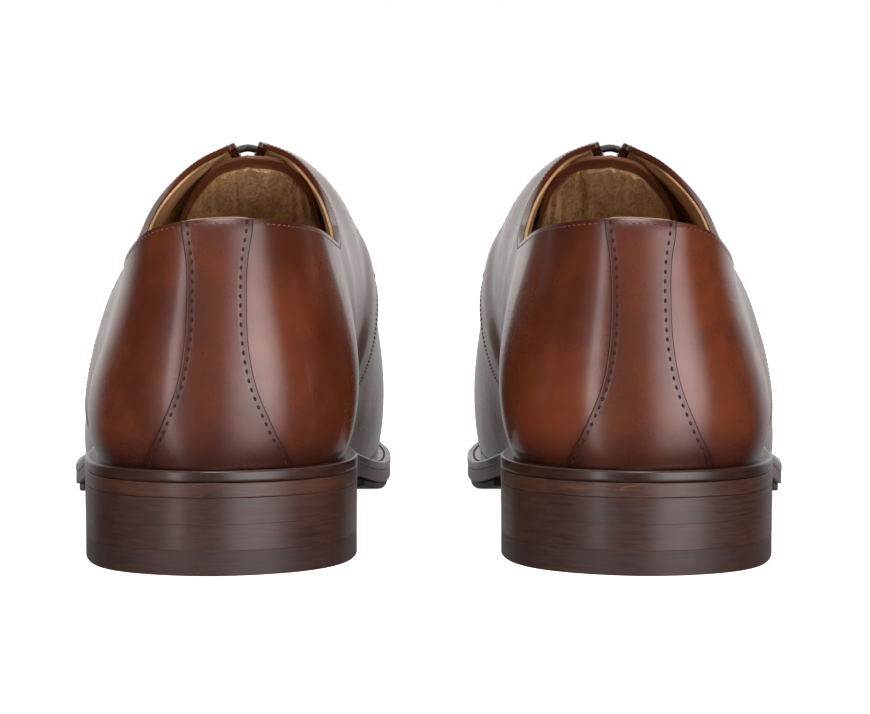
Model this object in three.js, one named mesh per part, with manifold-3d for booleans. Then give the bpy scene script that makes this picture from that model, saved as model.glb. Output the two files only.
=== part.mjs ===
// A pair of men's laced leather dress shoes, standing side by side, in millimetres, +Z up.
// Each shoe is open laced: two quarters lap over a plain vamp, a back strip covers the heel seam,
// and a separate lined tongue lies under the lace. The upper is lasted onto a welted leather sole
// with a stacked heel. Heels point to -Y and toes to +Y. The left shoe is modelled, with its inner
// (medial) side towards +X, and the right shoe is its mirror image.
import * as THREE from "three";
import { mergeVertices } from "three/addons/utils/BufferGeometryUtils.js";
import Module from "manifold-3d";

const wasm = await Module();
wasm.setup();

// ---------------------------------------------------------------- driving dimensions, mm
const CLEAR = 0.3; // gap between neighbouring pieces
const FEATHER_GAP = 0.6; // between the welt and the upper that stands on it
const HEEL_SPACING = 103.4; // between the two heel backs
const TOE_OUT = THREE.MathUtils.degToRad(2.9); // each shoe turns its toe outwards

const TOP_LIFT = 5.9; // rubber top lift
const HEEL_LIFT = 6.1; // one leather heel lift
const HEEL_LIFTS = 2;
const OUTSOLE = 3.5;
const WELT = 2.9;
const INSOLE = 2.5;
const HALF_SOLE = 2.0; // rubber guard under the forepart
const SOCK = 0.9;
const SHANK = 1.2;
const SHANK_WIDTH = 12;
const HEEL_BREAST = 78; // heel back to the front face of the heel
const BREAST_HOLLOW = 4;
const BREAST_SEGMENTS = 6; // chords along the hollow front of each heel piece
const BALL = 192; // heel back to the lowest point of the forepart
const TOE_SPRING = 10;

const LINING = 1.0;
const STIFFENER = 1.0;
const UPPER = 1.2; // outer leather
const STRIP = 0.8; // skived back strip
const TONGUE = 1.2;
const TONGUE_LINING = 0.9;

const LACE = 2.2; // diameter
const EYELETS = 5;
const EYELET_PITCH = 12;
const EYELET_HOLE = 3.8; // diameter
const PIN = 2.6; // heel pin diameter
const PIN_LENGTH = 9;

// ---------------------------------------------------------------- the last
// Seventeen ribs on each side run from the sole edge to the top. Rib 0 is the middle of the heel
// and rib 16 the middle of the toe. Ribs 0 to 8 end on the topline, ribs 8 to 16 on the ridge.
// Columns: sole edge x, y; top x, y, z; foot handle out, up; top handle x, y, z.
const MEDIAL = [
  [0, 0, 0.5, 10.5, 86.2, 4.5, 20, 0, -3.5, -22],
  [19, 5.5, 13, 14, 85.8, 6, 19, 1.8, -2.6, -22],
  [30.5, 18, 21.5, 27, 82.8, 7, 18, 3, -1.2, -21],
  [35, 38, 25.8, 46, 78.5, 7, 18, 4, 0, -19],
  [33.5, 62, 27, 65, 77.5, 6.5, 19, 4.5, 1, -18],
  [31, 88, 26.5, 83, 84, 7, 24, 6, 2.5, -20],
  [31.5, 112, 23, 98, 94, 8, 30, 11.5, 4, -18],
  [36, 136, 15.5, 110, 103, 8.5, 36, 23, 6, -11],
  [41.5, 157, 4, 120, 107.4, 8, 40, 36.5, 8, -4],
  [46, 177, 4, 137, 95.6, 7.5, 38, 35.5, 9, -4.5],
  [48.8, 198, 4, 157, 82.7, 7, 33, 34.5, 11, -5.5],
  [49, 220, 4, 180, 70, 6.5, 28, 31, 12, -5.9],
  [45.5, 243, 4, 204, 59.5, 6.5, 24, 27, 14, -5.2],
  [39.2, 266, 4, 227, 52.5, 6, 20, 22, 15, -4.2],
  [28.8, 286.5, 3.8, 247, 47.5, 5.5, 17, 16, 16, -4.1],
  [16.3, 298, 3.6, 259, 44, 5, 15, 9, 17, -4.9],
  [2.5, 301.5, 3.5, 266, 42, 5, 14, 0, 18, -6],
];
const LATERAL = [
  MEDIAL[0],
  [-18.5, 5, -12, 14, 85.8, 6, 19, -1.8, -2.6, -22],
  [-30, 17, -19.3, 27, 82.3, 7, 18, -3, -1.2, -21],
  [-35.5, 38, -21.5, 46, 77, 6.5, 18, -4, 0, -19],
  [-36, 62, -22.5, 65, 75.5, 5.5, 18, -4.5, 1, -18],
  [-37.5, 90, -22, 83, 82, 5, 20, -5.5, 3, -20],
  [-41, 115, -17.5, 97, 92, 4.5, 22, -10.5, 4, -18],
  [-46, 138, -8, 109.5, 101.3, 4, 23, -18.5, 6, -12.5],
  [-50.5, 160, 4, 120, 107.4, 3.5, 24, -30, 8, -6.3],
  [-54, 182, 4, 137, 95.7, 5, 24, -31, 9, -6],
  [-55, 203, 4, 157, 82.7, 6, 22, -30.5, 11, -6.3],
  [-52, 224, 4, 180, 70, 6, 20, -29, 12, -5.9],
  [-45, 244, 4, 204, 59.5, 6, 19, -26, 14, -5.2],
  [-36.8, 264, 4, 227, 52.5, 6, 17.5, -21, 15, -4.2],
  [-25.3, 284, 3.8, 247, 47.5, 5.5, 16, -15, 16, -4.1],
  [-11.9, 296.6, 3.6, 259, 44, 5, 14.5, -8, 17, -4.9],
  MEDIAL[16],
];
const MARGIN = [3, 3, 3, 3, 2.8, 2, 1.8, 2, 2.8, 3.8, 4.4, 4.5, 4.5, 4.5, 4.5, 4.5, 4.5];
const TOE_RIB = 16;
const RIDGE_RIB = 8;
const THROAT_RIB = 11.2;
const SIDES = { medial: 1, lateral: -1 };

// The layers of the upper, as distances outside the last.
const LAYER = {
  lining: [0, LINING],
  stiffener: [LINING + CLEAR, LINING + CLEAR + STIFFENER],
};
LAYER.upper = [LAYER.stiffener[1] + CLEAR, LAYER.stiffener[1] + CLEAR + UPPER];
LAYER.lap = [LAYER.upper[1] + CLEAR, LAYER.upper[1] + CLEAR + UPPER];
LAYER.strip = [LAYER.upper[1] + CLEAR, LAYER.upper[1] + CLEAR + STRIP];

// ---------------------------------------------------------------- curves
const mix = (a, b, t) => a + (b - a) * t;
const smooth = (t) => THREE.MathUtils.smoothstep(t, 0, 1);

// A Catmull-Rom spline through rows of numbers; at(i) gives row i, for any whole i.
function splineRow(at, t) {
  const i = Math.floor(t);
  const f = t - i;
  const [a, b, c, d] = [at(i - 1), at(i), at(i + 1), at(i + 2)];
  return b.map((_, k) => {
    const slope0 = (c[k] - a[k]) / 2;
    const slope1 = (d[k] - b[k]) / 2;
    const f2 = f * f;
    const f3 = f2 * f;
    return (
      (2 * f3 - 3 * f2 + 1) * b[k] +
      (f3 - 2 * f2 + f) * slope0 +
      (3 * f2 - 2 * f3) * c[k] +
      (f3 - f2) * slope1
    );
  });
}

// Rows round the whole shoe: 0 to 16 along the medial side, then back along the lateral side.
const RIBS_ROUND = 2 * TOE_RIB;
function ribRow(i) {
  const k = ((i % RIBS_ROUND) + RIBS_ROUND) % RIBS_ROUND;
  return k <= TOE_RIB ? MEDIAL[k] : LATERAL[RIBS_ROUND - k];
}
const marginRow = (i) => {
  const k = ((i % RIBS_ROUND) + RIBS_ROUND) % RIBS_ROUND;
  return [MARGIN[Math.min(k, RIBS_ROUND - k)]];
};

// The rows of one side's top line. The topline and the ridge meet in a corner at rib 8, so each is
// carried straight on past it.
function topRow(side, back) {
  const rows = side > 0 ? MEDIAL : LATERAL;
  const pick = (i) => {
    const others = side > 0 ? LATERAL : MEDIAL;
    if (i < 0) return others[-i];
    return i > TOE_RIB ? others[2 * TOE_RIB - i] : rows[i];
  };
  return (i) => {
    const past = back ? i > RIDGE_RIB : i < RIDGE_RIB;
    if (!past) return pick(i);
    const end = pick(RIDGE_RIB);
    const near = pick(back ? RIDGE_RIB - 1 : RIDGE_RIB + 1);
    return end.map((value, k) => 2 * value - near[k]);
  };
}

const soleTop = (y) => soleBottom(y) + OUTSOLE;
const heelHeight = TOP_LIFT + CLEAR + HEEL_LIFTS * (HEEL_LIFT + CLEAR);
const ballHeight = HALF_SOLE + CLEAR;
const LENGTH = MEDIAL[TOE_RIB][1];

// Height of the underside of the outsole: flat on the heel, down through the waist, up to the toe.
function soleBottom(y) {
  if (y < HEEL_BREAST) return heelHeight;
  if (y < BALL) {
    const t = (y - HEEL_BREAST) / (BALL - HEEL_BREAST);
    return mix(heelHeight, ballHeight, 0.5 - 0.5 * Math.cos(Math.PI * t));
  }
  return ballHeight + TOE_SPRING * ((y - BALL) / (LENGTH - BALL)) ** 2;
}
const weltTop = (y) => soleTop(y) + CLEAR + WELT;
const featherHeight = (y) => weltTop(y) + FEATHER_GAP;

// The sole edge, pushed inwards by inset. r runs from 0 at the heel, over 16 at the toe, to 32.
function soleEdge(r, inset = 0) {
  const step = 0.01;
  const [x, y] = splineRow(ribRow, r);
  const [xa, ya] = splineRow(ribRow, r - step);
  const [xb, yb] = splineRow(ribRow, r + step);
  const along = Math.hypot(xb - xa, yb - ya);
  const out = new THREE.Vector2((yb - ya) / along, (xa - xb) / along);
  return { x: x - out.x * inset, y: y - out.y * inset, out };
}

const UPPER_OUTER = LAYER.upper[1];

// A point of the last: side 1 or -1, rib s from 0 to 16, v from 0 at the feather line to 1 on top.
// Behind rib 8 the top follows the topline, or the line of the ridge where onRidge is true.
function lastPoint(side, s, v, onRidge = s > RIDGE_RIB) {
  const r = side > 0 ? s : RIBS_ROUND - s;
  const [margin] = splineRow(marginRow, r);
  const edge = soleEdge(r, margin + UPPER_OUTER);
  const foot = splineRow(ribRow, r);
  const top = splineRow(topRow(side, !onRidge), s);
  const a = new THREE.Vector3(edge.x, edge.y, featherHeight(edge.y + edge.out.y * UPPER_OUTER));
  const d = new THREE.Vector3(top[2], top[3], top[4]);
  const b = new THREE.Vector3(edge.out.x * foot[5], edge.out.y * foot[5], foot[6]).add(a);
  const c = new THREE.Vector3(top[7], top[8], top[9]).add(d);
  return new THREE.CubicBezierCurve3(a, b, c, d).getPoint(v);
}

// The ribs run together where the ridge ends at the toe, so directions are taken a little below it.
const RIDGE_END = 0.08;

// A point at a distance outside the last, and the direction it was moved in. Near the feather line
// that direction is level, so that every layer stands on the welt.
function upperPoint(side, s, v, distance, onRidge = s > RIDGE_RIB) {
  const step = 0.02;
  const rung = 0.004;
  const at = lastPoint(side, s, v, onRidge);
  const highest = 1 - rung - RIDGE_END * smooth(s - 14.5);
  const w = THREE.MathUtils.clamp(v, rung, highest);
  const up = lastPoint(side, s, w + rung, onRidge).sub(lastPoint(side, s, w - rung, onRidge));
  const corner = !onRidge && s > RIDGE_RIB - step;
  const ahead = ribPoint(side, corner ? s : s + step, Math.min(v, highest), onRidge);
  const along = ahead.sub(ribPoint(side, s - step, Math.min(v, highest), onRidge));
  const normal = along.cross(up).multiplyScalar(side).normalize();
  normal.z *= smooth(v / 0.15);
  normal.normalize();
  return { point: at.addScaledVector(normal, distance), normal };
}

// lastPoint for a rib that may lie past the heel or toe middle, on the other side.
function ribPoint(side, s, v, onRidge) {
  if (s < 0) return lastPoint(-side, -s, v, onRidge);
  if (s > TOE_RIB) return lastPoint(-side, 2 * TOE_RIB - s, v, onRidge);
  return lastPoint(side, s, v, onRidge);
}

// ---------------------------------------------------------------- solids
function solidOf(geometry) {
  const bare = geometry.clone();
  for (const name of Object.keys(bare.attributes)) {
    if (name !== "position") bare.deleteAttribute(name);
  }
  const merged = mergeVertices(bare, 1e-3);
  return new wasm.Manifold(
    new wasm.Mesh({
      numProp: 3,
      vertProperties: merged.attributes.position.array,
      triVerts: new Uint32Array(merged.index.array),
    }),
  );
}

function geometryOf(solid) {
  const mesh = solid.getMesh();
  return new THREE.BufferGeometry()
    .setAttribute("position", new THREE.BufferAttribute(mesh.vertProperties, 3))
    .setIndex(new THREE.BufferAttribute(mesh.triVerts, 1));
}

function indexedGeometry(points, faces) {
  return new THREE.BufferGeometry()
    .setAttribute("position", new THREE.Float32BufferAttribute(points.flatMap((p) => p.toArray()), 3))
    .setIndex(faces.flat());
}

// A wall between an outer and an inner skin. Each sheet is a grid of {outer, inner} points, given
// with its columns running anticlockwise of its rows seen from outside. Grids that share an edge
// are joined, and the open edges are closed.
function wall(grids) {
  const outer = [];
  const inner = [];
  const known = new Map();
  const faces = [];
  const indexOf = (cell) => {
    const key = cell.outer.toArray().map((n) => Math.round(n * 50)).join();
    if (!known.has(key)) {
      known.set(key, outer.length);
      outer.push(cell.outer);
      inner.push(cell.inner);
    }
    return known.get(key);
  };
  for (const { rows, flip } of grids) {
    const ids = rows.map((row) => row.map(indexOf));
    for (let i = 1; i < ids.length; i++) {
      for (let j = 1; j < ids[i].length; j++) {
        const [a, b, c, d] = [ids[i - 1][j - 1], ids[i][j - 1], ids[i][j], ids[i - 1][j]];
        const pair = [[a, b, c], [a, c, d]];
        faces.push(...(flip ? pair.map((f) => f.toReversed()) : pair));
      }
    }
  }
  const skin = faces.filter(([a, b, c]) => a !== b && b !== c && a !== c);
  const edges = new Map();
  for (const [a, b, c] of skin) {
    for (const [p, q] of [[a, b], [b, c], [c, a]]) {
      if (edges.has(`${q},${p}`)) edges.delete(`${q},${p}`);
      else edges.set(`${p},${q}`, [p, q]);
    }
  }
  const n = outer.length;
  const rim = [...edges.values()].flatMap(([p, q]) => [[q, p, p + n], [q, p + n, q + n]]);
  const back = skin.map(([a, b, c]) => [c + n, b + n, a + n]);
  return indexedGeometry([...outer, ...inner], [...skin, ...back, ...rim]);
}

// A point of a layer. Both sides share their points on the ridge, the heel line and the toe line.
function layerPoint(side, s, v, distance) {
  const shared = s === 0 || s === TOE_RIB || (v === 1 && s >= RIDGE_RIB);
  const signed = shared ? 1 : s < 0 ? -side : side;
  return upperPoint(signed, Math.abs(s), v, distance).point;
}

// Ribs and heights of every vertex of the upper's layers, so that one layer nests in the next.
const RIB_STATIONS = [
  0, 0.5, 1, 1.5, 2, 3, 4, 5, 6, 7, 8, 9, 10, 11, 12, 13, 14, 14.7, 15.4, 16,
];
const HEIGHT_STATIONS = [0, 0.14, 0.32, 0.5, 0.66, 0.79, 0.9, 1];

// A layer of the upper on the given sides, between two of the rib stations. distances(side, s, v)
// gives how far its inner and outer faces are outside the last.
function layerSolid(names, from, to, distances) {
  const ribs = RIB_STATIONS.filter((s) => s >= from && s <= to);
  const grids = names.map((name) => ({
    flip: SIDES[name] < 0,
    rows: ribs.map((s) =>
      HEIGHT_STATIONS.map((v) => {
        const [low, high] = distances(name, s, v);
        const side = SIDES[name];
        return { outer: layerPoint(side, s, v, high), inner: layerPoint(side, s, v, low) };
      }),
    ),
  }));
  return solidOf(wall(grids));
}
const BOTH = Object.keys(SIDES);

// A thick region to cut a layer with. where(a, b) gives its ribs and heights for a and b from 0 to 1.
const REACH = [-6.5, 9];
function region(name, columns, rowsUp, where) {
  const rows = [];
  for (let i = 0; i <= columns; i++) {
    const row = [];
    for (let j = 0; j <= rowsUp; j++) {
      const { s, v } = where(i / columns, j / rowsUp);
      const [inner, outer] = REACH.map((reach) => layerPoint(SIDES[name], s, v, reach));
      row.push({ outer, inner });
    }
    rows.push(row);
  }
  return solidOf(wall([{ rows, flip: SIDES[name] < 0 }]));
}
const PAST = 0.04; // regions run this far past the edges of the layer that they cut

// The region of one side between two ribs, each given for a height b from 0 to 1.
const strip = (name, from, to) =>
  region(name, 6, 6, (a, b) => ({ s: mix(from(b), to(b), a), v: mix(-PAST, 1 + PAST, b) }));

// A slab that follows the sole: its edge is inset from the sole edge between two ribs, and low and
// high give its faces' heights at each distance from the heel.
function soleSlab({ from, to, steps, inset, low, high }) {
  const section = (s) =>
    [1, -1].map((side) => {
      const edge = soleEdge(side > 0 ? s : RIBS_ROUND - s, inset(s));
      return { x: edge.x, y: edge.y };
    });
  const outer = [];
  for (let i = 0; i <= steps; i++) {
    const pair = section(mix(from, to, i / steps));
    outer.push(pair.map(({ x, y }) => new THREE.Vector3(x, y, high(y))));
  }
  const rows = outer.map((row) =>
    row.map((p) => ({ outer: p, inner: new THREE.Vector3(p.x, p.y, low(p.y)) })),
  );
  return wall([{ rows, flip: false }]);
}

// A flat plate with the outline of the heel, from the heel back to the breast.
function heelPlate(bottom, thickness, inset) {
  const steps = 22;
  const breastRib = 4.62;
  const shape = new THREE.Shape();
  for (let i = 0; i <= steps; i++) {
    const r = mix(-breastRib, breastRib, i / steps);
    const { x, y } = soleEdge(r, inset);
    if (i === 0) shape.moveTo(x, Math.min(y, HEEL_BREAST));
    else shape.lineTo(x, Math.min(y, HEEL_BREAST));
  }
  const start = soleEdge(-breastRib, inset);
  shape.quadraticCurveTo(0, HEEL_BREAST - 2 * BREAST_HOLLOW, start.x, Math.min(start.y, HEEL_BREAST));
  const plate = new THREE.ExtrudeGeometry(shape, {
    depth: thickness,
    bevelEnabled: false,
    curveSegments: BREAST_SEGMENTS,
  });
  return plate.translate(0, 0, bottom);
}

// ---------------------------------------------------------------- the sole unit
const bottomStack = (() => {
  const lifts = [];
  for (let i = 0; i < HEEL_LIFTS; i++) lifts.push(TOP_LIFT + CLEAR + i * (HEEL_LIFT + CLEAR));
  return { lifts };
})();

const HEEL_PINS = [[0, 14], [17, 40], [-17, 40]];
const pinSolid = (extra) =>
  HEEL_PINS.map(([x, y]) => {
    const length = PIN_LENGTH + 2 * extra;
    return new THREE.CylinderGeometry(PIN / 2 + extra, PIN / 2 + extra, length, 8)
      .rotateX(Math.PI / 2)
      .translate(x, y, PIN_LENGTH / 2 + 0.2);
  });

function drilled(plate) {
  return geometryOf(pinSolid(CLEAR).reduce((solid, pin) => solid.subtract(solidOf(pin)), solidOf(plate)));
}

function shankStrip(grow) {
  const half = SHANK_WIDTH / 2 + grow;
  const steps = 10;
  const rows = [];
  for (let i = 0; i <= steps; i++) {
    const y = mix(52 - grow, 152 + grow, i / steps);
    const top = weltTop(y) + grow * 8;
    const low = weltTop(y) - SHANK - grow;
    rows.push([half, -half].map((x) => {
      return { outer: new THREE.Vector3(x, y, top), inner: new THREE.Vector3(x, y, low) };
    }));
  }
  return wall([{ rows, flip: false }]);
}

const WELT_WIDTH = 10;
function weltRing() {
  const steps = 64;
  const rows = [];
  for (let i = 0; i <= steps; i++) {
    const r = (RIBS_ROUND * (i % steps)) / steps;
    const rim = soleEdge(r, 0);
    const hole = soleEdge(r, WELT_WIDTH);
    rows.push(
      [rim, hole].map(({ x, y }) => ({
        outer: new THREE.Vector3(x, y, weltTop(y)),
        inner: new THREE.Vector3(x, y, weltTop(y) - WELT),
      })),
    );
  }
  return wall([{ rows, flip: false }]);
}

const CORK_GAP = WELT_WIDTH + CLEAR;
function corkFiller() {
  const slab = soleSlab({
    from: 0.6,
    to: 15.2,
    steps: 34,
    inset: () => CORK_GAP,
    low: (y) => soleTop(y) + CLEAR,
    high: weltTop,
  });
  return geometryOf(solidOf(slab).subtract(solidOf(shankStrip(CLEAR))));
}

const INSOLE_GAP = 1; // all round, inside the lining
const insoleInset = (s) => splineRow(marginRow, s)[0] + UPPER_OUTER + INSOLE_GAP;
const insoleTop = (y) => featherHeight(y) + INSOLE;

function soleUnit() {
  const { lifts } = bottomStack;
  return {
    top_lift: drilled(heelPlate(0, TOP_LIFT, 0.4)),
    heel_lift_lower: drilled(heelPlate(lifts[0], HEEL_LIFT, 0.4)),
    heel_lift_upper: heelPlate(lifts[1], HEEL_LIFT, 0.2),
    outsole: soleSlab({ from: 0, to: TOE_RIB, steps: 36, inset: () => 0, low: soleBottom, high: soleTop }),
    half_sole: soleSlab({
      from: 7.7,
      to: TOE_RIB,
      steps: 18,
      inset: () => 1.2,
      low: (y) => soleBottom(y) - CLEAR - HALF_SOLE,
      high: (y) => soleBottom(y) - CLEAR,
    }),
    welt: weltRing(),
    cork_filler: corkFiller(),
    shank: shankStrip(0),
    insole: soleSlab({
      from: 0,
      to: TOE_RIB,
      steps: 34,
      inset: insoleInset,
      low: featherHeight,
      high: insoleTop,
    }),
    heel_sock: soleSlab({
      from: 0.4,
      to: 5.2,
      steps: 8,
      inset: (s) => insoleInset(s) + 1.5,
      low: (y) => insoleTop(y) + CLEAR,
      high: (y) => insoleTop(y) + CLEAR + SOCK,
    }),
    ...Object.fromEntries(pinSolid(0).map((pin, i) => [`heel_pin_${i + 1}`, pin])),
  };
}

// ---------------------------------------------------------------- the upper
// Half the width of the back strip, in ribs, from the welt to the topline.
const STRIP_EDGE = [1.02, 0.74, 0.52, 0.43, 0.42, 0.46, 0.58];
// The front edge of each quarter, in ribs, from the welt to the throat.
const QUARTER_EDGE = {
  medial: [4.9, 6.35, 7.6, 8.5, 9.45, 10.75, THROAT_RIB],
  lateral: [6.0, 7.0, 7.95, 8.75, 9.55, 10.75, THROAT_RIB],
};
const LAP = 0.25; // the vamp runs this many ribs on under the quarters
const RISE_END = LAP + 0.75; // ribs from the quarter's front edge back to where it is fully raised
const RISE = 0.8; // and the length of the slope behind that
const FACING_GAP = [2.6, 4.6]; // half gap between the facings at the top and at the throat
const SEAM = 0.02; // half gap between pieces that are sewn edge to edge, in ribs

const edgeAt = (list, t) => {
  const last = list.length - 1;
  const row = (i) => [list[THREE.MathUtils.clamp(i, 0, last)]];
  return splineRow(row, THREE.MathUtils.clamp(t, 0, 1) * last)[0];
};

// The height v on rib s of a line that lies further from the ridge than the edge of the facing.
function facingV(side, s, further = 0) {
  const down = THREE.MathUtils.clamp((s - RIDGE_RIB) / (THROAT_RIB - RIDGE_RIB), 0, 1);
  const distance = mix(...FACING_GAP, down) + further;
  const start = lastPoint(side, s, 1);
  let v = 1;
  while (lastPoint(side, s, v).distanceTo(start) < distance) v -= 0.004;
  return v;
}

// The height of a quarter's upper edge: past the topline, then down to the facing's edge.
function quarterTop(side, s) {
  if (s > RIDGE_RIB) return facingV(side, s);
  return mix(1 + PAST, facingV(side, RIDGE_RIB), smooth((s - 6.9) / 1.1));
}

// The quarter rises from the upper layer onto the vamp towards its front edge.
function rise(name, s, v) {
  const front = edgeAt(QUARTER_EDGE[name], v / quarterTop(SIDES[name], s));
  return smooth((s - (front - RISE_END - RISE)) / RISE) * (LAYER.lap[0] - LAYER.upper[0]);
}
const raised = (layer) => (name, s, v) => layer.map((distance) => distance + rise(name, s, v));
const level = (layer) => () => layer;

// The region of a quarter: from the heel seam to a distance past its front edge, in ribs, and from
// the welt to its top.
function quarterRegion(name, past = 0) {
  const columns = 14; // so that one falls on rib 8, at the facing's corner
  return region(name, columns, 7, (a, b) => {
    const s = mix(SEAM, edgeAt(QUARTER_EDGE[name], b) + past, a);
    const top = quarterTop(SIDES[name], mix(SEAM, THROAT_RIB, a));
    return { s, v: mix(-PAST, top, b) };
  });
}
const QUARTER_REGION = Object.fromEntries(BOTH.map((name) => [name, quarterRegion(name)]));
const QUARTER_END = 12; // rib station past the quarters' front edges

const quarter = (name) =>
  layerSolid([name], 0, QUARTER_END, raised(LAYER.upper)).intersect(QUARTER_REGION[name]);

const LINING_SEAM = 4.3; // rib where the heel lining meets the quarter linings
const quarterLining = (name) =>
  layerSolid([name], 4, QUARTER_END, level(LAYER.lining))
    .intersect(QUARTER_REGION[name])
    .subtract(strip(name, () => 3, () => LINING_SEAM + SEAM));

// A layer round the heel that ends at a rib on each side.
const heelWrap = (layer, station, end) =>
  BOTH.reduce(
    (solid, name) => solid.subtract(strip(name, end, () => station + 1)),
    layerSolid(BOTH, 0, station, level(layer)),
  );

const heelLining = () => heelWrap(LAYER.lining, 5, () => LINING_SEAM - SEAM);
const backStrip = () => heelWrap(LAYER.strip, 1.5, (b) => edgeAt(STRIP_EDGE, b));

const COUNTER_END = 4.6; // rib
const COUNTER_HEIGHT = [0.74, 0.4]; // of the heel's height, at the back and at its ends
function heelCounter() {
  const above = BOTH.map((name) =>
    region(name, 8, 2, (a, b) => {
      const s = mix(-0.3, COUNTER_END + 0.3, a);
      const height = mix(...COUNTER_HEIGHT, Math.abs(s / COUNTER_END) ** 3);
      return { s, v: mix(height, 1 + PAST, b) };
    }),
  );
  const wrap = heelWrap(LAYER.stiffener, 5, () => COUNTER_END);
  return above.reduce((solid, part) => solid.subtract(part), wrap);
}

// The region over the ridge, between the facings and behind the throat.
const THROAT = THROAT_RIB + 2 * SEAM;
const throatRegion = (name) =>
  region(name, 10, 1, (a, b) => {
    const s = a < 0.5 ? mix(RIDGE_RIB - 4, RIDGE_RIB, 2 * a) : mix(RIDGE_RIB, THROAT, 2 * a - 1);
    return { s, v: mix(quarterTop(SIDES[name], s) - PAST, 1 + PAST, b) };
  });

// A layer over the forepart that starts at a distance past the quarters' front edges, in ribs.
function foreWrap(layer, past) {
  const cuts = BOTH.flatMap((name) => [quarterRegion(name, past), throatRegion(name)]);
  return cuts.reduce((solid, cut) => solid.subtract(cut), layerSolid(BOTH, 4, TOE_RIB, level(layer)));
}
const vamp = () => foreWrap(LAYER.upper, -LAP);
const vampLining = () => foreWrap(LAYER.lining, 2 * SEAM);

const toePuff = () =>
  BOTH.reduce(
    (solid, name) => solid.subtract(strip(name, () => 11, (b) => 13 - 0.6 * b)),
    layerSolid(BOTH, 12, TOE_RIB, level(LAYER.stiffener)),
  );

const STAY_WIDTH = 15;
const STAY_EDGE = 1; // from the facing's edge
function facingStay(name) {
  const side = SIDES[name];
  const outline = region(name, 4, 1, (a, b) => {
    const s = mix(RIDGE_RIB + 0.12, THROAT_RIB - 0.3, a);
    return { s, v: mix(facingV(side, s, STAY_WIDTH), facingV(side, s, STAY_EDGE), b) };
  });
  return layerSolid([name], RIDGE_RIB, QUARTER_END, level(LAYER.stiffener)).intersect(outline);
}

// ---------------------------------------------------------------- eyelets and lace
// Ribs of the eyelets, one pitch apart along the ridge, starting below the top of the facings.
const FIRST_EYELET = 8;
const eyeletRibs = (() => {
  const ribs = [];
  let walked = 0;
  let s = RIDGE_RIB;
  while (ribs.length < EYELETS) {
    const next = s + 0.005;
    walked += lastPoint(1, next, 1).distanceTo(lastPoint(1, s, 1));
    s = next;
    if (walked >= FIRST_EYELET + ribs.length * EYELET_PITCH) ribs.push(s);
  }
  return ribs;
})();
const EYELET_EDGE = 8; // from the facing's edge to the eyelet's middle

function eyelet(name, index) {
  const side = SIDES[name];
  const s = eyeletRibs[index];
  const v = facingV(side, s, EYELET_EDGE);
  const { point, normal } = upperPoint(side, s, v, 0);
  return { s, v, point, normal, surface: LAYER.upper[1] + rise(name, s, v) };
}

function punched(name, piece) {
  let solid = piece;
  for (let i = 0; i < EYELETS; i++) {
    const { point, normal } = eyelet(name, i);
    const turn = new THREE.Quaternion().setFromUnitVectors(new THREE.Vector3(0, 1, 0), normal);
    const punch = new THREE.CylinderGeometry(EYELET_HOLE / 2, EYELET_HOLE / 2, 24, 6)
      .applyQuaternion(turn)
      .translate(...point.toArray());
    solid = solid.subtract(solidOf(punch));
  }
  return geometryOf(solid);
}

// A route given point by point, so that a sweep takes one step for each point.
class Route extends THREE.Curve {
  constructor(points) {
    super();
    this.points = points;
  }
  getPoint(t, target = new THREE.Vector3()) {
    const last = this.points.length - 1;
    const i = Math.min(Math.floor(t * last + 1e-9), last - 1);
    return target.lerpVectors(this.points[i], this.points[i + 1], t * last - i);
  }
  getPointAt(u, target) {
    return this.getPoint(u, target);
  }
  getTangentAt(u, target = new THREE.Vector3()) {
    const step = 0.5 / (this.points.length - 1);
    const ahead = this.getPoint(Math.min(u + step, 1));
    return target.copy(ahead).sub(this.getPoint(Math.max(u - step, 0))).normalize();
  }
}

const BEND = 2.1; // radius of the lace's turns
const OVER = LACE / 2 + 0.6; // height of its middle above the quarter
const UNDER = LACE / 2 + 0.8; // depth of the lace's middle under the lining

// The lace's turn through eyelet index from the bar on top to the run underneath, which leads
// towards a point. Points run from outside to inside.
function throughEyelet(name, index, towards) {
  const { point, normal, surface } = eyelet(name, index);
  const at = (along, way, depth) => point.clone().addScaledVector(way, along).addScaledVector(normal, depth);
  const level = (target) => {
    const way = target.clone().sub(point);
    return way.addScaledVector(normal, -way.dot(normal)).normalize();
  };
  const across = level(lastPoint(SIDES[name], eyeletRibs[index], 1));
  const away = level(towards);
  const top = surface + OVER;
  const k = BEND * (1 - Math.SQRT1_2);
  return [
    at(BEND, across, top),
    at(k, across, top - k),
    at(0, across, top - BEND),
    at(0, across, BEND - UNDER),
    at(k, away, k - UNDER),
    at(BEND, away, -UNDER),
  ];
}

// The bar over the ridge at one eyelet pair, from one side's facing edge to the other's.
function bar(index, from) {
  const s = eyeletRibs[index];
  const names = from === "medial" ? ["medial", "lateral"] : ["lateral", "medial"];
  const points = names.map((name) => {
    const side = SIDES[name];
    const { surface } = eyelet(name, index);
    return upperPoint(side, s, facingV(side, s, 2), surface + OVER).point;
  });
  const middle = points[0].clone().lerp(points[1], 0.5);
  middle.addScaledVector(upperPoint(1, s, 1, 0).normal, 0.6);
  return [points[0], middle, points[1]];
}

// An end of the lace, tucked in between the tongue and the lining, from its tip to the eyelet.
const TAIL = 0.22; // its length, as a share of the rib's height
function tail(name, index) {
  const { s, v } = eyelet(name, index);
  const steps = 5;
  const points = [];
  for (let i = steps; i > 0; i--) {
    points.push(upperPoint(SIDES[name], s + 0.04 * i, v - (TAIL * i) / steps, -UNDER).point);
  }
  return points;
}

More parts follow.
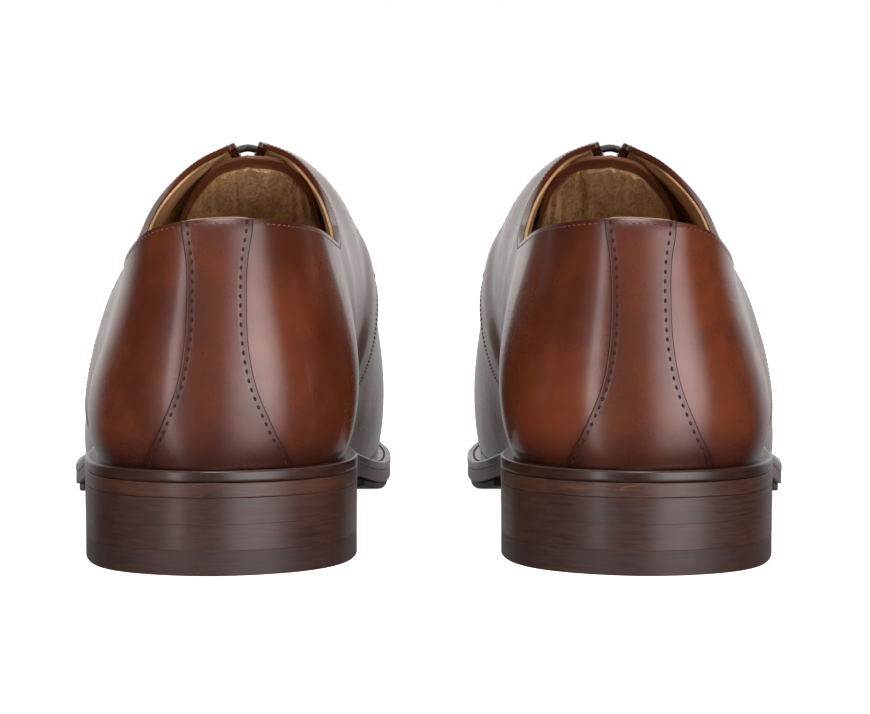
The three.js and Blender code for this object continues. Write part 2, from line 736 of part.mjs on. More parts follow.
// The straight lacing. Each crossing starts at the named side's eyelet, and the lace then runs
// underneath, on the far side, to the next crossing.
const CROSSINGS = [
  ["lateral", 1],
  ["medial", 3],
  ["lateral", 4],
  ["medial", 2],
  ["lateral", 0],
];
function laceRoute() {
  const other = { medial: "lateral", lateral: "medial" };
  const [firstName, firstIndex] = CROSSINGS[0];
  const [lastName, lastIndex] = CROSSINGS.at(-1);
  const startTail = tail(firstName, firstIndex);
  const endTail = tail(other[lastName], lastIndex);
  const points = CROSSINGS.flatMap(([name, index], i) => {
    const before = CROSSINGS[i - 1];
    const after = CROSSINGS[i + 1];
    const from = before ? eyelet(name, before[1]).point : startTail.at(-1);
    const to = after ? eyelet(other[name], after[1]).point : endTail.at(-1);
    return [
      ...throughEyelet(name, index, from).reverse(),
      ...bar(index, name),
      ...throughEyelet(other[name], index, to),
    ];
  });
  return [...startTail, ...points, ...endTail.reverse()];
}

function lace() {
  const section = new THREE.Shape();
  const sides = 6;
  for (let i = 0; i <= sides; i++) {
    const angle = (2 * Math.PI * i) / sides;
    section[i ? "lineTo" : "moveTo"]((LACE / 2) * Math.cos(angle), (LACE / 2) * Math.sin(angle));
  }
  const route = new Route(laceRoute());
  return new THREE.ExtrudeGeometry(section, {
    extrudePath: route,
    steps: route.points.length - 1,
    bevelEnabled: false,
  });
}

// ---------------------------------------------------------------- the tongue
// The tongue follows the ridge a little below the lining, and deeper towards its free end. l runs
// from 0 at its root, which is sewn under the vamp lining, to 1 at its top edge.
const TONGUE_ROOT = 11.7; // rib
const TONGUE_END = 7.62;
const TONGUE_DEPTH = UNDER + LACE / 2 + CLEAR; // under the lace
const TONGUE_DROP = 4.2; // and this much more at the end
const TONGUE_WIDTH = [0.2, 0.42]; // from the ridge to each edge, of the rib's height

function tongueDepth(s) {
  const root = smooth((s - 10.95) / 0.4);
  const end = smooth((9.2 - s) / (9.2 - TONGUE_END));
  return mix(TONGUE_DEPTH, CLEAR, root) + TONGUE_DROP * end;
}

// A sheet of the tongue between two depths, inset from its edges by a share of its size.
function tongueSheet(inset, low, high) {
  const columns = 8;
  const rowsUp = 9;
  const rows = [];
  for (let i = 0; i <= columns; i++) {
    const across = mix(-1, 1, i / columns);
    const row = [];
    for (let j = 0; j <= rowsUp; j++) {
      const roundOff = 0.1 * Math.abs(across) ** 4;
      const l = mix(0, 1 - roundOff - inset, j / rowsUp);
      const s = mix(TONGUE_ROOT, TONGUE_END, l);
      const v = 1 - Math.abs(across) * (1 - inset) * mix(...TONGUE_WIDTH, smooth(1.5 * l));
      const side = across < 0 ? -1 : 1;
      const at = (depth) => upperPoint(side, s, v, -tongueDepth(s) - depth, true).point;
      row.push({ outer: at(low), inner: at(high) });
    }
    rows.push(row);
  }
  return wall([{ rows, flip: true }]);
}

const tongueParts = () => ({
  tongue: tongueSheet(0, 0, TONGUE),
  tongue_lining: tongueSheet(0.055, TONGUE + CLEAR, TONGUE + CLEAR + TONGUE_LINING),
});

// ---------------------------------------------------------------- assembly
const finish = (color, roughness, metalness = 0) => {
  return new THREE.MeshStandardMaterial({ color, roughness, metalness });
};
const FINISH = {
  calf: finish(0x6b2f17, 0.3),
  lining: finish(0xb48a58, 0.75),
  sole_edge: finish(0x33241f, 0.35),
  sole_leather: finish(0x8a5a36, 0.6),
  rubber: finish(0x2c2728, 0.6),
  cork: finish(0xa47a4c, 0.9),
  board: finish(0xc2a57a, 0.85),
  steel: finish(0x8d9094, 0.4, 1),
  brass: finish(0xb08d4a, 0.35, 1),
  lace: finish(0x2a1c18, 0.5),
};
const FINISH_OF = {
  top_lift: "rubber",
  heel_lift_lower: "sole_edge",
  heel_lift_upper: "sole_edge",
  outsole: "sole_leather",
  half_sole: "rubber",
  welt: "sole_edge",
  cork_filler: "cork",
  shank: "steel",
  insole: "board",
  heel_sock: "lining",
  heel_pin_1: "brass",
  heel_pin_2: "brass",
  heel_pin_3: "brass",
  heel_counter: "board",
  toe_puff: "board",
  facing_stay_medial: "board",
  facing_stay_lateral: "board",
  heel_lining: "lining",
  quarter_lining_medial: "lining",
  quarter_lining_lateral: "lining",
  vamp_lining: "lining",
  tongue_lining: "lining",
  lace: "lace",
};

const uppers = {
  vamp: geometryOf(vamp()),
  vamp_lining: geometryOf(vampLining()),
  toe_puff: geometryOf(toePuff()),
  heel_lining: geometryOf(heelLining()),
  heel_counter: geometryOf(heelCounter()),
  back_strip: geometryOf(backStrip()),
  lace: lace(),
};
for (const name of BOTH) {
  uppers[`quarter_${name}`] = punched(name, quarter(name));
  uppers[`quarter_lining_${name}`] = punched(name, quarterLining(name));
  uppers[`facing_stay_${name}`] = punched(name, facingStay(name));
}

function shoe(prefix) {
  const group = new THREE.Group();
  for (const [name, geometry] of Object.entries({ ...soleUnit(), ...uppers, ...tongueParts() })) {
    const mesh = new THREE.Mesh(geometry, FINISH[FINISH_OF[name] ?? "calf"]);
    mesh.name = `${prefix}_${name}`;
    group.add(mesh);
  }
  group.position.x = -HEEL_SPACING / 2;
  group.rotation.z = TOE_OUT;
  return group;
}

const pair = new THREE.Group();
const leftShoe = shoe("left");
const rightShoe = new THREE.Group();
rightShoe.add(shoe("right"));
rightShoe.scale.x = -1;
pair.add(leftShoe, rightShoe);

// The origin is on the floor, in the middle of the pair.
const box = new THREE.Box3().setFromObject(pair, true);
pair.position.y = -(box.min.y + box.max.y) / 2;

export default pair;
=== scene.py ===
"""Dresses a pair of polished brown leather lace-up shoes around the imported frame.

The uppers, linings, tongues, laces and sole units are remade as fine meshes, in millimetres, and
then placed in the row frame in metres. Their last is the one that the frame was built on, but for
the topline, which dips up to 5.2 mm lower on the outer side and stands up to 2.3 mm higher on the
inner side.
"""

import logging
import math
from dataclasses import dataclass
from enum import Enum
from typing import Callable, ClassVar, Sequence

import bmesh
import bpy
import numpy as np
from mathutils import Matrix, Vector


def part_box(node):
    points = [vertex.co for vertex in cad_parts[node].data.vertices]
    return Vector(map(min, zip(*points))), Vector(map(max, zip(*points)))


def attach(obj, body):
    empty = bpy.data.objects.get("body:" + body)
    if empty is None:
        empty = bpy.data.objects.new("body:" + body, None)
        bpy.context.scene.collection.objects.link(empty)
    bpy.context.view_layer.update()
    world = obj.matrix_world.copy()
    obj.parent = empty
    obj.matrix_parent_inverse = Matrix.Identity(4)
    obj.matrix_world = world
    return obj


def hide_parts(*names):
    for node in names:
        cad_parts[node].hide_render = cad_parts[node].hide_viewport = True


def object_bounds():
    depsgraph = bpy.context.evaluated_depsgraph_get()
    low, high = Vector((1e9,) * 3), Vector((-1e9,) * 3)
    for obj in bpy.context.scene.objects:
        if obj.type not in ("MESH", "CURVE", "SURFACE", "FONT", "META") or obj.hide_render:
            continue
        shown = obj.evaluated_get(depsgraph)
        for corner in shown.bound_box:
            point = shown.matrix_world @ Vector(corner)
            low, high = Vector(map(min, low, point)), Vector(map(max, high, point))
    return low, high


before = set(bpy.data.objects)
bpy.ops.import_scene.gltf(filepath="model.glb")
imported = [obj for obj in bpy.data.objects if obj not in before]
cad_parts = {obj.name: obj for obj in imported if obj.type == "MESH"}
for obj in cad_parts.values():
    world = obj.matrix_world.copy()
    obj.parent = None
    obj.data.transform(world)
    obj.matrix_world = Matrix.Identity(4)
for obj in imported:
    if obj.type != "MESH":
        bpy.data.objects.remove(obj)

LOG = logging.getLogger("shoes")
CAD_BOX = [list(corner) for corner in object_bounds()]
MM = 0.001
Array = np.ndarray
Profile = Sequence[tuple[float, float]]


class Foot(Enum):
    """Which shoe of the pair. The value turns the left last into that shoe's last."""

    LEFT = 1
    RIGHT = -1

    @property
    def prefix(self) -> str:
        """The word that this shoe's node names start with."""
        return self.name.lower()

    @property
    def shoe_body(self) -> str:
        """The body that the shoe rides on."""
        return f"{self.prefix}_shoe"

    @property
    def tongue_body(self) -> str:
        """The body that the tongue rides on."""
        return f"{self.prefix}_tongue"


class Flank(Enum):
    """The inner or the outer side of one shoe, as the sign of its place round the last."""

    MEDIAL = 1
    LATERAL = -1

    @property
    def word(self) -> str:
        """The side's name as node names hold it."""
        return self.name.lower()


def smooth(t: Array | float) -> Array:
    """An eased step from 0 to 1."""
    t = np.clip(t, 0.0, 1.0)
    return t * t * (3 - 2 * t)


def mix(a: Array | float, b: Array | float, t: Array | float) -> Array | float:
    """The value a share t of the way from a to b."""
    return a + (b - a) * t


def spline(rows: Array, t: Array, first: int = 0, closed: bool = False) -> Array:
    """A Catmull-Rom spline through rows of numbers.

    Args:
        rows: one row for each knot.
        t: where to read it, in knots.
        first: the knot number of the first row.
        closed: whether the rows run round in a ring.

    Returns:
        One row for each t.
    """
    t = np.asarray(t, float)
    i = np.floor(t).astype(int)
    f = (t - i)[..., None]

    def knot(k: Array) -> Array:
        """The row of knot k."""
        return rows[(k - first) % len(rows)] if closed else rows[np.clip(k - first, 0, len(rows) - 1)]

    a, b, c, d = knot(i - 1), knot(i), knot(i + 1), knot(i + 2)
    f2, f3 = f * f, f**3
    return (
        (2 * f3 - 3 * f2 + 1) * b
        + (f3 - 2 * f2 + f) * (c - a) / 2
        + (3 * f2 - 2 * f3) * c
        + (f3 - f2) * (d - b) / 2
    )


# --------------------------------------------------------------------------- the last
MEDIAL_RIBS = np.array([
    [0, 0, 0.5, 10.5, 86.2, 4.5, 20, 0, -3.5, -22],
    [19, 5.5, 13, 14, 85.8, 6, 19, 1.8, -2.6, -22],
    [30.5, 18, 21.5, 27, 83.8, 7, 18, 3, -1.2, -21],
    [35, 38, 25.8, 46, 80.5, 7, 18, 4, 0, -19],
    [33.5, 62, 27, 65, 79.8, 6.5, 19, 4.5, 1, -18],
    [31, 88, 26.5, 83, 85, 7, 24, 6, 2.5, -20],
    [31.5, 112, 23, 98, 94, 8, 30, 11.5, 4, -18],
    [36, 136, 15.5, 110, 103, 8.5, 36, 23, 6, -11],
    [41.5, 157, 4, 120, 107.4, 8, 40, 36.5, 8, -4],
    [46, 177, 4, 137, 95.6, 7.5, 38, 35.5, 9, -4.5],
    [48.8, 198, 4, 157, 82.7, 7, 33, 34.5, 11, -5.5],
    [49, 220, 4, 180, 70, 6.5, 28, 31, 12, -5.9],
    [45.5, 243, 4, 204, 59.5, 6.5, 24, 27, 14, -5.2],
    [39.2, 266, 4, 227, 52.5, 6, 20, 22, 15, -4.2],
    [28.8, 286.5, 3.8, 247, 47.5, 5.5, 17, 16, 16, -4.1],
    [16.3, 298, 3.6, 259, 44, 5, 15, 9, 17, -4.9],
    [2.5, 301.5, 3.5, 266, 42, 5, 14, 0, 18, -6],
], float)
LATERAL_RIBS = np.array([
    [-18.5, 5, -12, 14, 84.2, 6, 19, -1.8, -2.6, -22],
    [-30, 17, -19.3, 27, 77.8, 7, 18, -3, -1.2, -21],
    [-35.5, 38, -21.5, 46, 71.8, 6.5, 18, -4, 0, -19],
    [-36, 62, -22.5, 65, 71.2, 5.5, 18, -4.5, 1, -18],
    [-37.5, 90, -22, 83, 79, 5, 20, -5.5, 3, -20],
    [-41, 115, -17.5, 97, 91, 4.5, 22, -10.5, 4, -18],
    [-46, 138, -8, 109.5, 101.3, 4, 23, -18.5, 6, -12.5],
    [-50.5, 160, 4, 120, 107.4, 3.5, 24, -30, 8, -6.3],
    [-54, 182, 4, 137, 95.7, 5, 24, -31, 9, -6],
    [-55, 203, 4, 157, 82.7, 6, 22, -30.5, 11, -6.3],
    [-52, 224, 4, 180, 70, 6, 20, -29, 12, -5.9],
    [-45, 244, 4, 204, 59.5, 6, 19, -26, 14, -5.2],
    [-36.8, 264, 4, 227, 52.5, 6, 17.5, -21, 15, -4.2],
    [-25.3, 284, 3.8, 247, 47.5, 5.5, 16, -15, 16, -4.1],
    [-11.9, 296.6, 3.6, 259, 44, 5, 14.5, -8, 17, -4.9],
], float)
MARGINS = np.array([3, 3, 3, 3, 2.8, 2, 1.8, 2, 2.8, 3.8, 4.4, 4.5, 4.5, 4.5, 4.5, 4.5, 4.5])
TOE_RIB = 16
RIDGE_RIB = 8
THROAT_RIB = 11.2
ROUND = 2 * TOE_RIB


def round_ribs(count: int) -> Array:
    """Evenly spaced places all round the sole."""
    return np.arange(count) * ROUND / count


class Last:
    """The form inside one left shoe, in millimetres, with the shapes that follow it.

    A place on it is (r, v). r runs from 0 at the heel to 16 at the toe on the medial side and
    to -16 on the lateral side. v runs from 0 at the feather line to 1 on top.
    """

    clear: float = 0.3
    feather_gap: float = 0.6
    heel_height: float = 19.0
    ball_height: float = 2.3
    outsole: float = 3.5
    welt: float = 2.9
    breast: float = 78.0
    ball: float = 192.0
    spring: float = 10.0
    upper_outer: float = 3.8
    lap: float = 0.25
    lap_lift: float = 1.5
    lap_start: float = 1.35
    lap_ease: float = 0.8
    facing_gap: tuple[float, float] = (1.0, 4.2)
    over_top: float = 1.04
    corner_rib: float = 6.9
    corner_cut: float = 0.018
    corner_reach: float = 0.26
    toe_rib: float = 14.5
    toe_calm: float = 0.08
    foot_turn: float = 0.15
    back_first: int = -12
    front_first: int = 4
    quarter_edge: dict[Flank, Array] = {
        Flank.MEDIAL: np.array([4.9, 6.35, 7.6, 8.5, 9.45, 10.75, THROAT_RIB])[:, None],
        Flank.LATERAL: np.array([6.0, 7.0, 7.95, 8.75, 9.55, 10.75, THROAT_RIB])[:, None],
    }

    def __init__(self) -> None:
        """Lays out the ring of ribs and the lines that end at the topline and on the ridge."""
        self.ring = np.vstack([MEDIAL_RIBS, LATERAL_RIBS[::-1]])
        self.margins = np.concatenate([MARGINS, MARGINS[15:0:-1]])[:, None]
        self.length = self.ring[TOE_RIB][1]
        self.back_rows = np.array([self._back_row(i) for i in range(self.back_first, 1 - self.back_first)])
        beyond = ROUND - self.front_first + 1
        self.front_rows = np.array([self._front_row(i) for i in range(self.front_first, beyond)])
        self.facing_table = {flank: self._facing_table(flank) for flank in Flank}

    def _back_row(self, i: int) -> Array:
        """Row i of the topline, carried straight on past rib 8."""
        if i > RIDGE_RIB:
            return 2 * self.ring[RIDGE_RIB] - self.ring[RIDGE_RIB - 1]
        if i < -RIDGE_RIB:
            return 2 * self.ring[-RIDGE_RIB] - self.ring[-RIDGE_RIB + 1]
        return self.ring[i % ROUND]

    def _front_row(self, i: int) -> Array:
        """Row i of the ridge line, carried straight on before rib 8."""
        if i < RIDGE_RIB:
            return 2 * self.ring[RIDGE_RIB] - self.ring[RIDGE_RIB + 1]
        if i > ROUND - RIDGE_RIB:
            return 2 * self.ring[ROUND - RIDGE_RIB] - self.ring[ROUND - RIDGE_RIB - 1]
        return self.ring[i]

    def sole_bottom(self, y: Array) -> Array:
        """Height of the underside of the outsole at a distance from the heel back."""
        t = np.clip((y - self.breast) / (self.ball - self.breast), 0, 1)
        waist = mix(self.heel_height, self.ball_height, 0.5 - 0.5 * np.cos(np.pi * t))
        toe = self.ball_height + self.spring * ((y - self.ball) / (self.length - self.ball)) ** 2
        return np.where(y > self.ball, toe, waist)

    def welt_top(self, y: Array) -> Array:
        """Height of the top of the welt."""
        return self.sole_bottom(y) + self.outsole + self.clear + self.welt

    def feather(self, y: Array) -> Array:
        """Height of the line where the upper begins."""
        return self.welt_top(y) + self.feather_gap

    def edge(self, r: Array, inset: Array | float = 0.0) -> tuple[Array, Array]:
        """The sole edge pushed inwards.

        Args:
            r: places round the sole.
            inset: distance inwards.

        Returns:
            Points (x, y) and the directions outwards.
        """
        r = np.asarray(r, float)
        here = spline(self.ring, r, closed=True)[..., :2]
        step = 0.01
        along = spline(self.ring, r + step, closed=True) - spline(self.ring, r - step, closed=True)
        along = along[..., :2]
        along = along / np.linalg.norm(along, axis=-1, keepdims=True)
        out = np.stack([along[..., 1], -along[..., 0]], -1)
        return here - out * np.broadcast_to(inset, r.shape)[..., None], out

    def point(self, r: Array, v: Array, ridge: bool | None = None) -> Array:
        """A point of the last.

        Args:
            r: places round it.
            v: heights from 0 to 1.
            ridge: whether ribs end on the ridge; None lets ribs behind 8 end on the topline.

        Returns:
            Points in millimetres.
        """
        r, v = np.broadcast_arrays(np.asarray(r, float), np.asarray(v, float))
        rs = (r + TOE_RIB) % ROUND - TOE_RIB
        s = np.abs(rs)
        on_ridge = (s > RIDGE_RIB) if ridge is None else np.full(s.shape, ridge)
        margin = spline(self.margins, r, closed=True)[..., 0]
        sole, out = self.edge(r, margin + self.upper_outer)
        foot = spline(self.ring, r, closed=True)
        back = spline(self.back_rows, rs, first=self.back_first)
        ahead = np.where(rs < 0, rs + ROUND, rs)
        front = spline(self.front_rows, ahead, first=self.front_first)
        top = np.where(on_ridge[..., None], front, back)
        height = self.feather(sole[..., 1] + out[..., 1] * self.upper_outer)
        a = np.concatenate([sole, height[..., None]], -1)
        d = top[..., 2:5]
        b = a + np.concatenate([out * foot[..., 5:6], foot[..., 6:7]], -1)
        c = d + top[..., 7:10]
        v = v[..., None]
        w = 1 - v
        return w**3 * a + 3 * w * w * v * b + 3 * w * v * v * c + v**3 * d

    def surface(self, r: Array, v: Array, out: Array | float,
                ridge: bool | None = None) -> tuple[Array, Array]:
        """Points at a distance outside the last.

        Args:
            r: places round it.
            v: heights.
            out: distances outwards; negative is inside.
            ridge: as for point.

        Returns:
            Points and the unit directions that they were moved in.
        """
        r, v = np.broadcast_arrays(np.asarray(r, float), np.asarray(v, float))
        rs = (r + TOE_RIB) % ROUND - TOE_RIB
        shared = (v >= 1) & ((np.abs(rs) >= RIDGE_RIB) | (ridge is True))
        rs = np.where(shared, np.abs(rs), rs)
        s = np.abs(rs)
        step, rung = 0.02, 0.004
        highest = 1 - rung - self.toe_calm * smooth(s - self.toe_rib)
        w = np.clip(v, rung, highest)
        level = np.minimum(v, highest)
        up = self.point(rs, w + rung, ridge) - self.point(rs, w - rung, ridge)
        corner = (ridge is None) & (s <= RIDGE_RIB) & (s > RIDGE_RIB - step)
        ahead = np.where(corner & (rs > 0), 0, step)
        behind = np.where(corner & (rs < 0), 0, step)
        along = self.point(rs + ahead, level, ridge) - self.point(rs - behind, level, ridge)
        normal = np.cross(along, up)
        normal /= np.linalg.norm(normal, axis=-1, keepdims=True)
        normal[..., 2] *= smooth(v / self.foot_turn)
        normal /= np.linalg.norm(normal, axis=-1, keepdims=True)
        reach = np.broadcast_to(np.asarray(out, float), r.shape)[..., None]
        return self.point(rs, v, ridge) + normal * reach, normal

    def _facing_table(self, flank: Flank) -> tuple[Array, Array, Array]:
        """Distances from the ridge down each rib between the top of the facing and the throat."""
        ribs = np.linspace(RIDGE_RIB, THROAT_RIB, 33)
        heights = np.linspace(1, 0.3, 180)
        r, v = np.meshgrid(ribs * flank.value, heights, indexing="ij")
        points = self.point(r, v, True)
        away = np.linalg.norm(points - points[:, :1], axis=-1)
        return ribs, heights, away

    def facing_height(self, flank: Flank, s: Array, further: float = 0.0) -> Array:
        """The height v of a line that runs beside the facing's edge.

        Args:
            flank: the side of the shoe.
            s: ribs.
            further: distance from the facing's edge, away from the ridge.

        Returns:
            One height for each rib.
        """
        ribs, heights, away = self.facing_table[flank]
        down = np.clip((ribs - RIDGE_RIB) / (THROAT_RIB - RIDGE_RIB), 0, 1)
        gap = mix(*self.facing_gap, down) + further
        found = [np.interp(g, row, heights) for g, row in zip(gap, away)]
        return np.interp(s, ribs, found)

    def quarter_top(self, flank: Flank, s: Array) -> Array:
        """The height of a quarter's upper edge: the topline, then the facing's edge."""
        corner = self.facing_height(flank, np.array(RIDGE_RIB))
        near = smooth((s - self.corner_rib) / (RIDGE_RIB - self.corner_rib))
        behind = mix(self.over_top, corner, near)
        sharp = np.minimum(np.where(s > RIDGE_RIB, self.facing_height(flank, s), behind), 1.0)
        return sharp - self.corner_dip(s)

    def corner_dip(self, s: Array) -> Array:
        """How far a quarter's upper edge is rounded off beside its corner."""
        return self.corner_cut * np.exp(-(((s - RIDGE_RIB) / self.corner_reach) ** 2))

    def quarter_front(self, flank: Flank, b: Array) -> Array:
        """The rib of a quarter's front edge, for b from 0 at the welt to 1 at the throat."""
        knots = self.quarter_edge[flank]
        return spline(knots, np.clip(b, 0, 1) * (len(knots) - 1))[..., 0]

    def quarter_out(self, flank: Flank, s: Array, v: Array) -> Array:
        """How far the quarter is lifted where it laps over the vamp."""
        front = self.quarter_front(flank, v / self.quarter_top(flank, s))
        return self.lap_lift * smooth((s - (front - self.lap_start)) / self.lap_ease)


@dataclass(frozen=True)
class Ground:
    """Where the two lasts stand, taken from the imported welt."""

    spacing: float = 103.4
    toe_out: float = math.radians(2.9)
    shift: float = 0.0

    @classmethod
    def under(cls, last: Last) -> "Ground":
        """Finds the shift that lays the last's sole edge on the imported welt."""
        plain = cls()
        rim, _ = last.edge(round_ribs(64))
        flat = np.concatenate([rim, np.zeros((len(rim), 1))], -1)
        lowest = plain.place(flat, Foot.LEFT)[:, 1].min()
        return cls(shift=(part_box("left_welt")[0].y - lowest) / MM)

    def place(self, points: Array, foot: Foot) -> Array:
        """Turns millimetres on the left last into metres in the row frame."""
        turned = self.turn(points, Foot.LEFT)
        moved = turned + np.array([-self.spacing / 2, self.shift, 0])
        return moved * np.array([foot.value, 1, 1]) * MM

    def turn(self, ways: Array, foot: Foot) -> Array:
        """Turns directions on the left last into directions in the row frame."""
        c, s = math.cos(self.toe_out), math.sin(self.toe_out)
        x, y = ways[..., 0], ways[..., 1]
        return np.stack([foot.value * (x * c - y * s), x * s + y * c, ways[..., 2]], -1)


LAST = Last()
GROUND = Ground.under(LAST)


# --------------------------------------------------------------------------- meshes
@dataclass
class Skin:
    """A mesh in millimetres on the left last, with named values at its points."""

    points: Array
    faces: list[Sequence[int]]
    values: dict[str, Array]


def lengths(points: Array, axis: int) -> Array:
    """Distance walked over a grid of points along one of its axes."""
    steps = np.linalg.norm(np.diff(points, axis=axis), axis=-1)
    start = np.zeros_like(np.take(steps, [0], axis=axis))
    return np.concatenate([start, np.cumsum(steps, axis=axis)], axis=axis)


def shell(outer: Array, inner: Array, values: dict[str, Array], sides: str = "lrbt") -> Skin:
    """A wall between two grids of points.

    Args:
        outer: the outer face, as columns of rows of points.
        inner: the inner face, with the same layout.
        values: a number for each grid point, by name.
        sides: which rims to close: l first column, r last, b first row, t last.

    Returns:
        The wall, closed on the sides asked for.
    """
    m, n = outer.shape[:2]
    o = np.arange(m * n).reshape(m, n)
    q = o + m * n
    a, b, c, d = o[:-1, :-1], o[1:, :-1], o[1:, 1:], o[:-1, 1:]
    skins = [np.stack([a, b, c, d], -1), np.stack([d, c, b, a], -1) + m * n]
    rims = {
        "b": (o[1:, 0], o[:-1, 0], q[:-1, 0], q[1:, 0]),
        "t": (o[:-1, -1], o[1:, -1], q[1:, -1], q[:-1, -1]),
        "l": (o[0, :-1], o[0, 1:], q[0, 1:], q[0, :-1]),
        "r": (o[-1, 1:], o[-1, :-1], q[-1, :-1], q[-1, 1:]),
    }
    skins += [np.stack(rims[side], -1) for side in sides]
    faces = np.concatenate([s.reshape(-1, 4) for s in skins]).tolist()
    points = np.concatenate([outer.reshape(-1, 3), inner.reshape(-1, 3)])
    spread = {name: np.tile(v.ravel(), 2) for name, v in values.items()}
    return Skin(points, faces, spread)


def outline(medial: Array, lateral: Array) -> Array:
    """A closed loop from two halves that share their first and last points."""
    return np.concatenate([medial, lateral[-2:0:-1]])


def slab(loop: Array, profile: Profile, low: Callable[[Array], Array]) -> Skin:
    """A plate whose edge follows a profile.

    Args:
        loop: its outline (x, y), anticlockwise, with point i across from point -i.
        profile: (inset, height) pairs from the underside round to the top.
        low: height of the underside at each distance from the heel back.

    Returns:
        The closed plate.
    """
    n = len(loop)
    along = np.roll(loop, -1, 0) - np.roll(loop, 1, 0)
    along /= np.linalg.norm(along, axis=-1, keepdims=True)
    out = np.stack([along[:, 1], -along[:, 0]], -1)
    rings = []
    for inset, height in profile:
        flat = loop - out * inset
        rings.append(np.column_stack([flat, low(flat[:, 1]) + height]))
    ids = np.arange(n)
    after = (ids + 1) % n
    faces: list[Sequence[int]] = []
    for k in range(len(rings) - 1):
        quads = np.stack([ids + k * n, after + k * n, after + (k + 1) * n, ids + (k + 1) * n], -1)
        faces += quads.tolist()
    top = (len(rings) - 1) * n
    for i in range(n // 2):
        across = [i, i + 1, (n - i - 1) % n, (n - i) % n]
        loop_ids = list(dict.fromkeys(across))
        faces.append([top + k for k in loop_ids])
        faces.append(loop_ids[::-1])
    return Skin(np.concatenate(rings), faces, {})


def band(rings: Array) -> Skin:
    """A ring-shaped body from closed sections.

    Args:
        rings: points as stations round the band, by points round the section.

    Returns:
        The closed band.
    """
    m, n = rings.shape[:2]
    ids = np.arange(m * n).reshape(m, n)
    right, up = np.roll(ids, -1, 0), np.roll(ids, -1, 1)
    faces = np.stack([ids, right, np.roll(right, -1, 1), up], -1)
    return Skin(rings.reshape(-1, 3), faces.reshape(-1, 4).tolist(), {})


def tube(path: Array, radius: Array, sides: int) -> Skin:
    """A round tube along a path, closed at both ends.

    Args:
        path: points along its middle.
        radius: its radius at each point.
        sides: how many sides it has.

    Returns:
        The closed tube, with the distance walked as the value "along".
    """
    tangent = np.gradient(path, axis=0)
    tangent /= np.linalg.norm(tangent, axis=-1, keepdims=True)
    side = np.cross(tangent[0], [0.0, 0.0, 1.0])
    rings = []
    turns = 2 * np.pi * np.arange(sides) / sides
    for p, t, rad in zip(path, tangent, radius):
        side = side - t * (side @ t)
        side /= np.linalg.norm(side)
        other = np.cross(t, side)
        rings.append(p + rad * (np.cos(turns)[:, None] * side + np.sin(turns)[:, None] * other))
    n = len(path)
    ids = np.arange(n * sides).reshape(n, sides)
    ahead = np.roll(ids, -1, 1)
    walls = np.stack([ids[:-1], ahead[:-1], ahead[1:], ids[1:]], -1).reshape(-1, 4).tolist()
    ends = [ids[0][::-1].tolist(), ids[-1].tolist()]
    along = lengths(path, 0)
    return Skin(np.concatenate(rings), walls + ends, {"along": np.repeat(along, sides)})


def rounded_edge(thickness: float, radius: float, rows: int, reach: float = 6.0) -> Profile:
    """The profile of a plate with rounded edges.

    Args:
        thickness: of the plate.
        radius: of both edges.
        rows: how many rows of faces the straight part has.
        reach: how far inside the edge the flat faces start.

    Returns:
        (inset, height) pairs.
    """
    turn = np.linspace(0, np.pi / 2, 5)
    low = [(radius * (1 - math.sin(t)), radius * (1 - math.cos(t))) for t in turn]
    low = [(reach, 0.0), (radius + 0.05, 0.0), *low, (0.0, radius + 0.05)]
    wall = [(0.0, mix(radius, thickness - radius, k / rows)) for k in range(1, rows)]
    high = [(inset, thickness - height) for inset, height in reversed(low)]
    return [*low, *wall, *high]


def put(name: str, data: bpy.types.ID) -> bpy.types.Object:
    """Adds an object that holds the data to the scene."""
    obj = bpy.data.objects.new(name, data)
    bpy.context.scene.collection.objects.link(obj)
    return obj


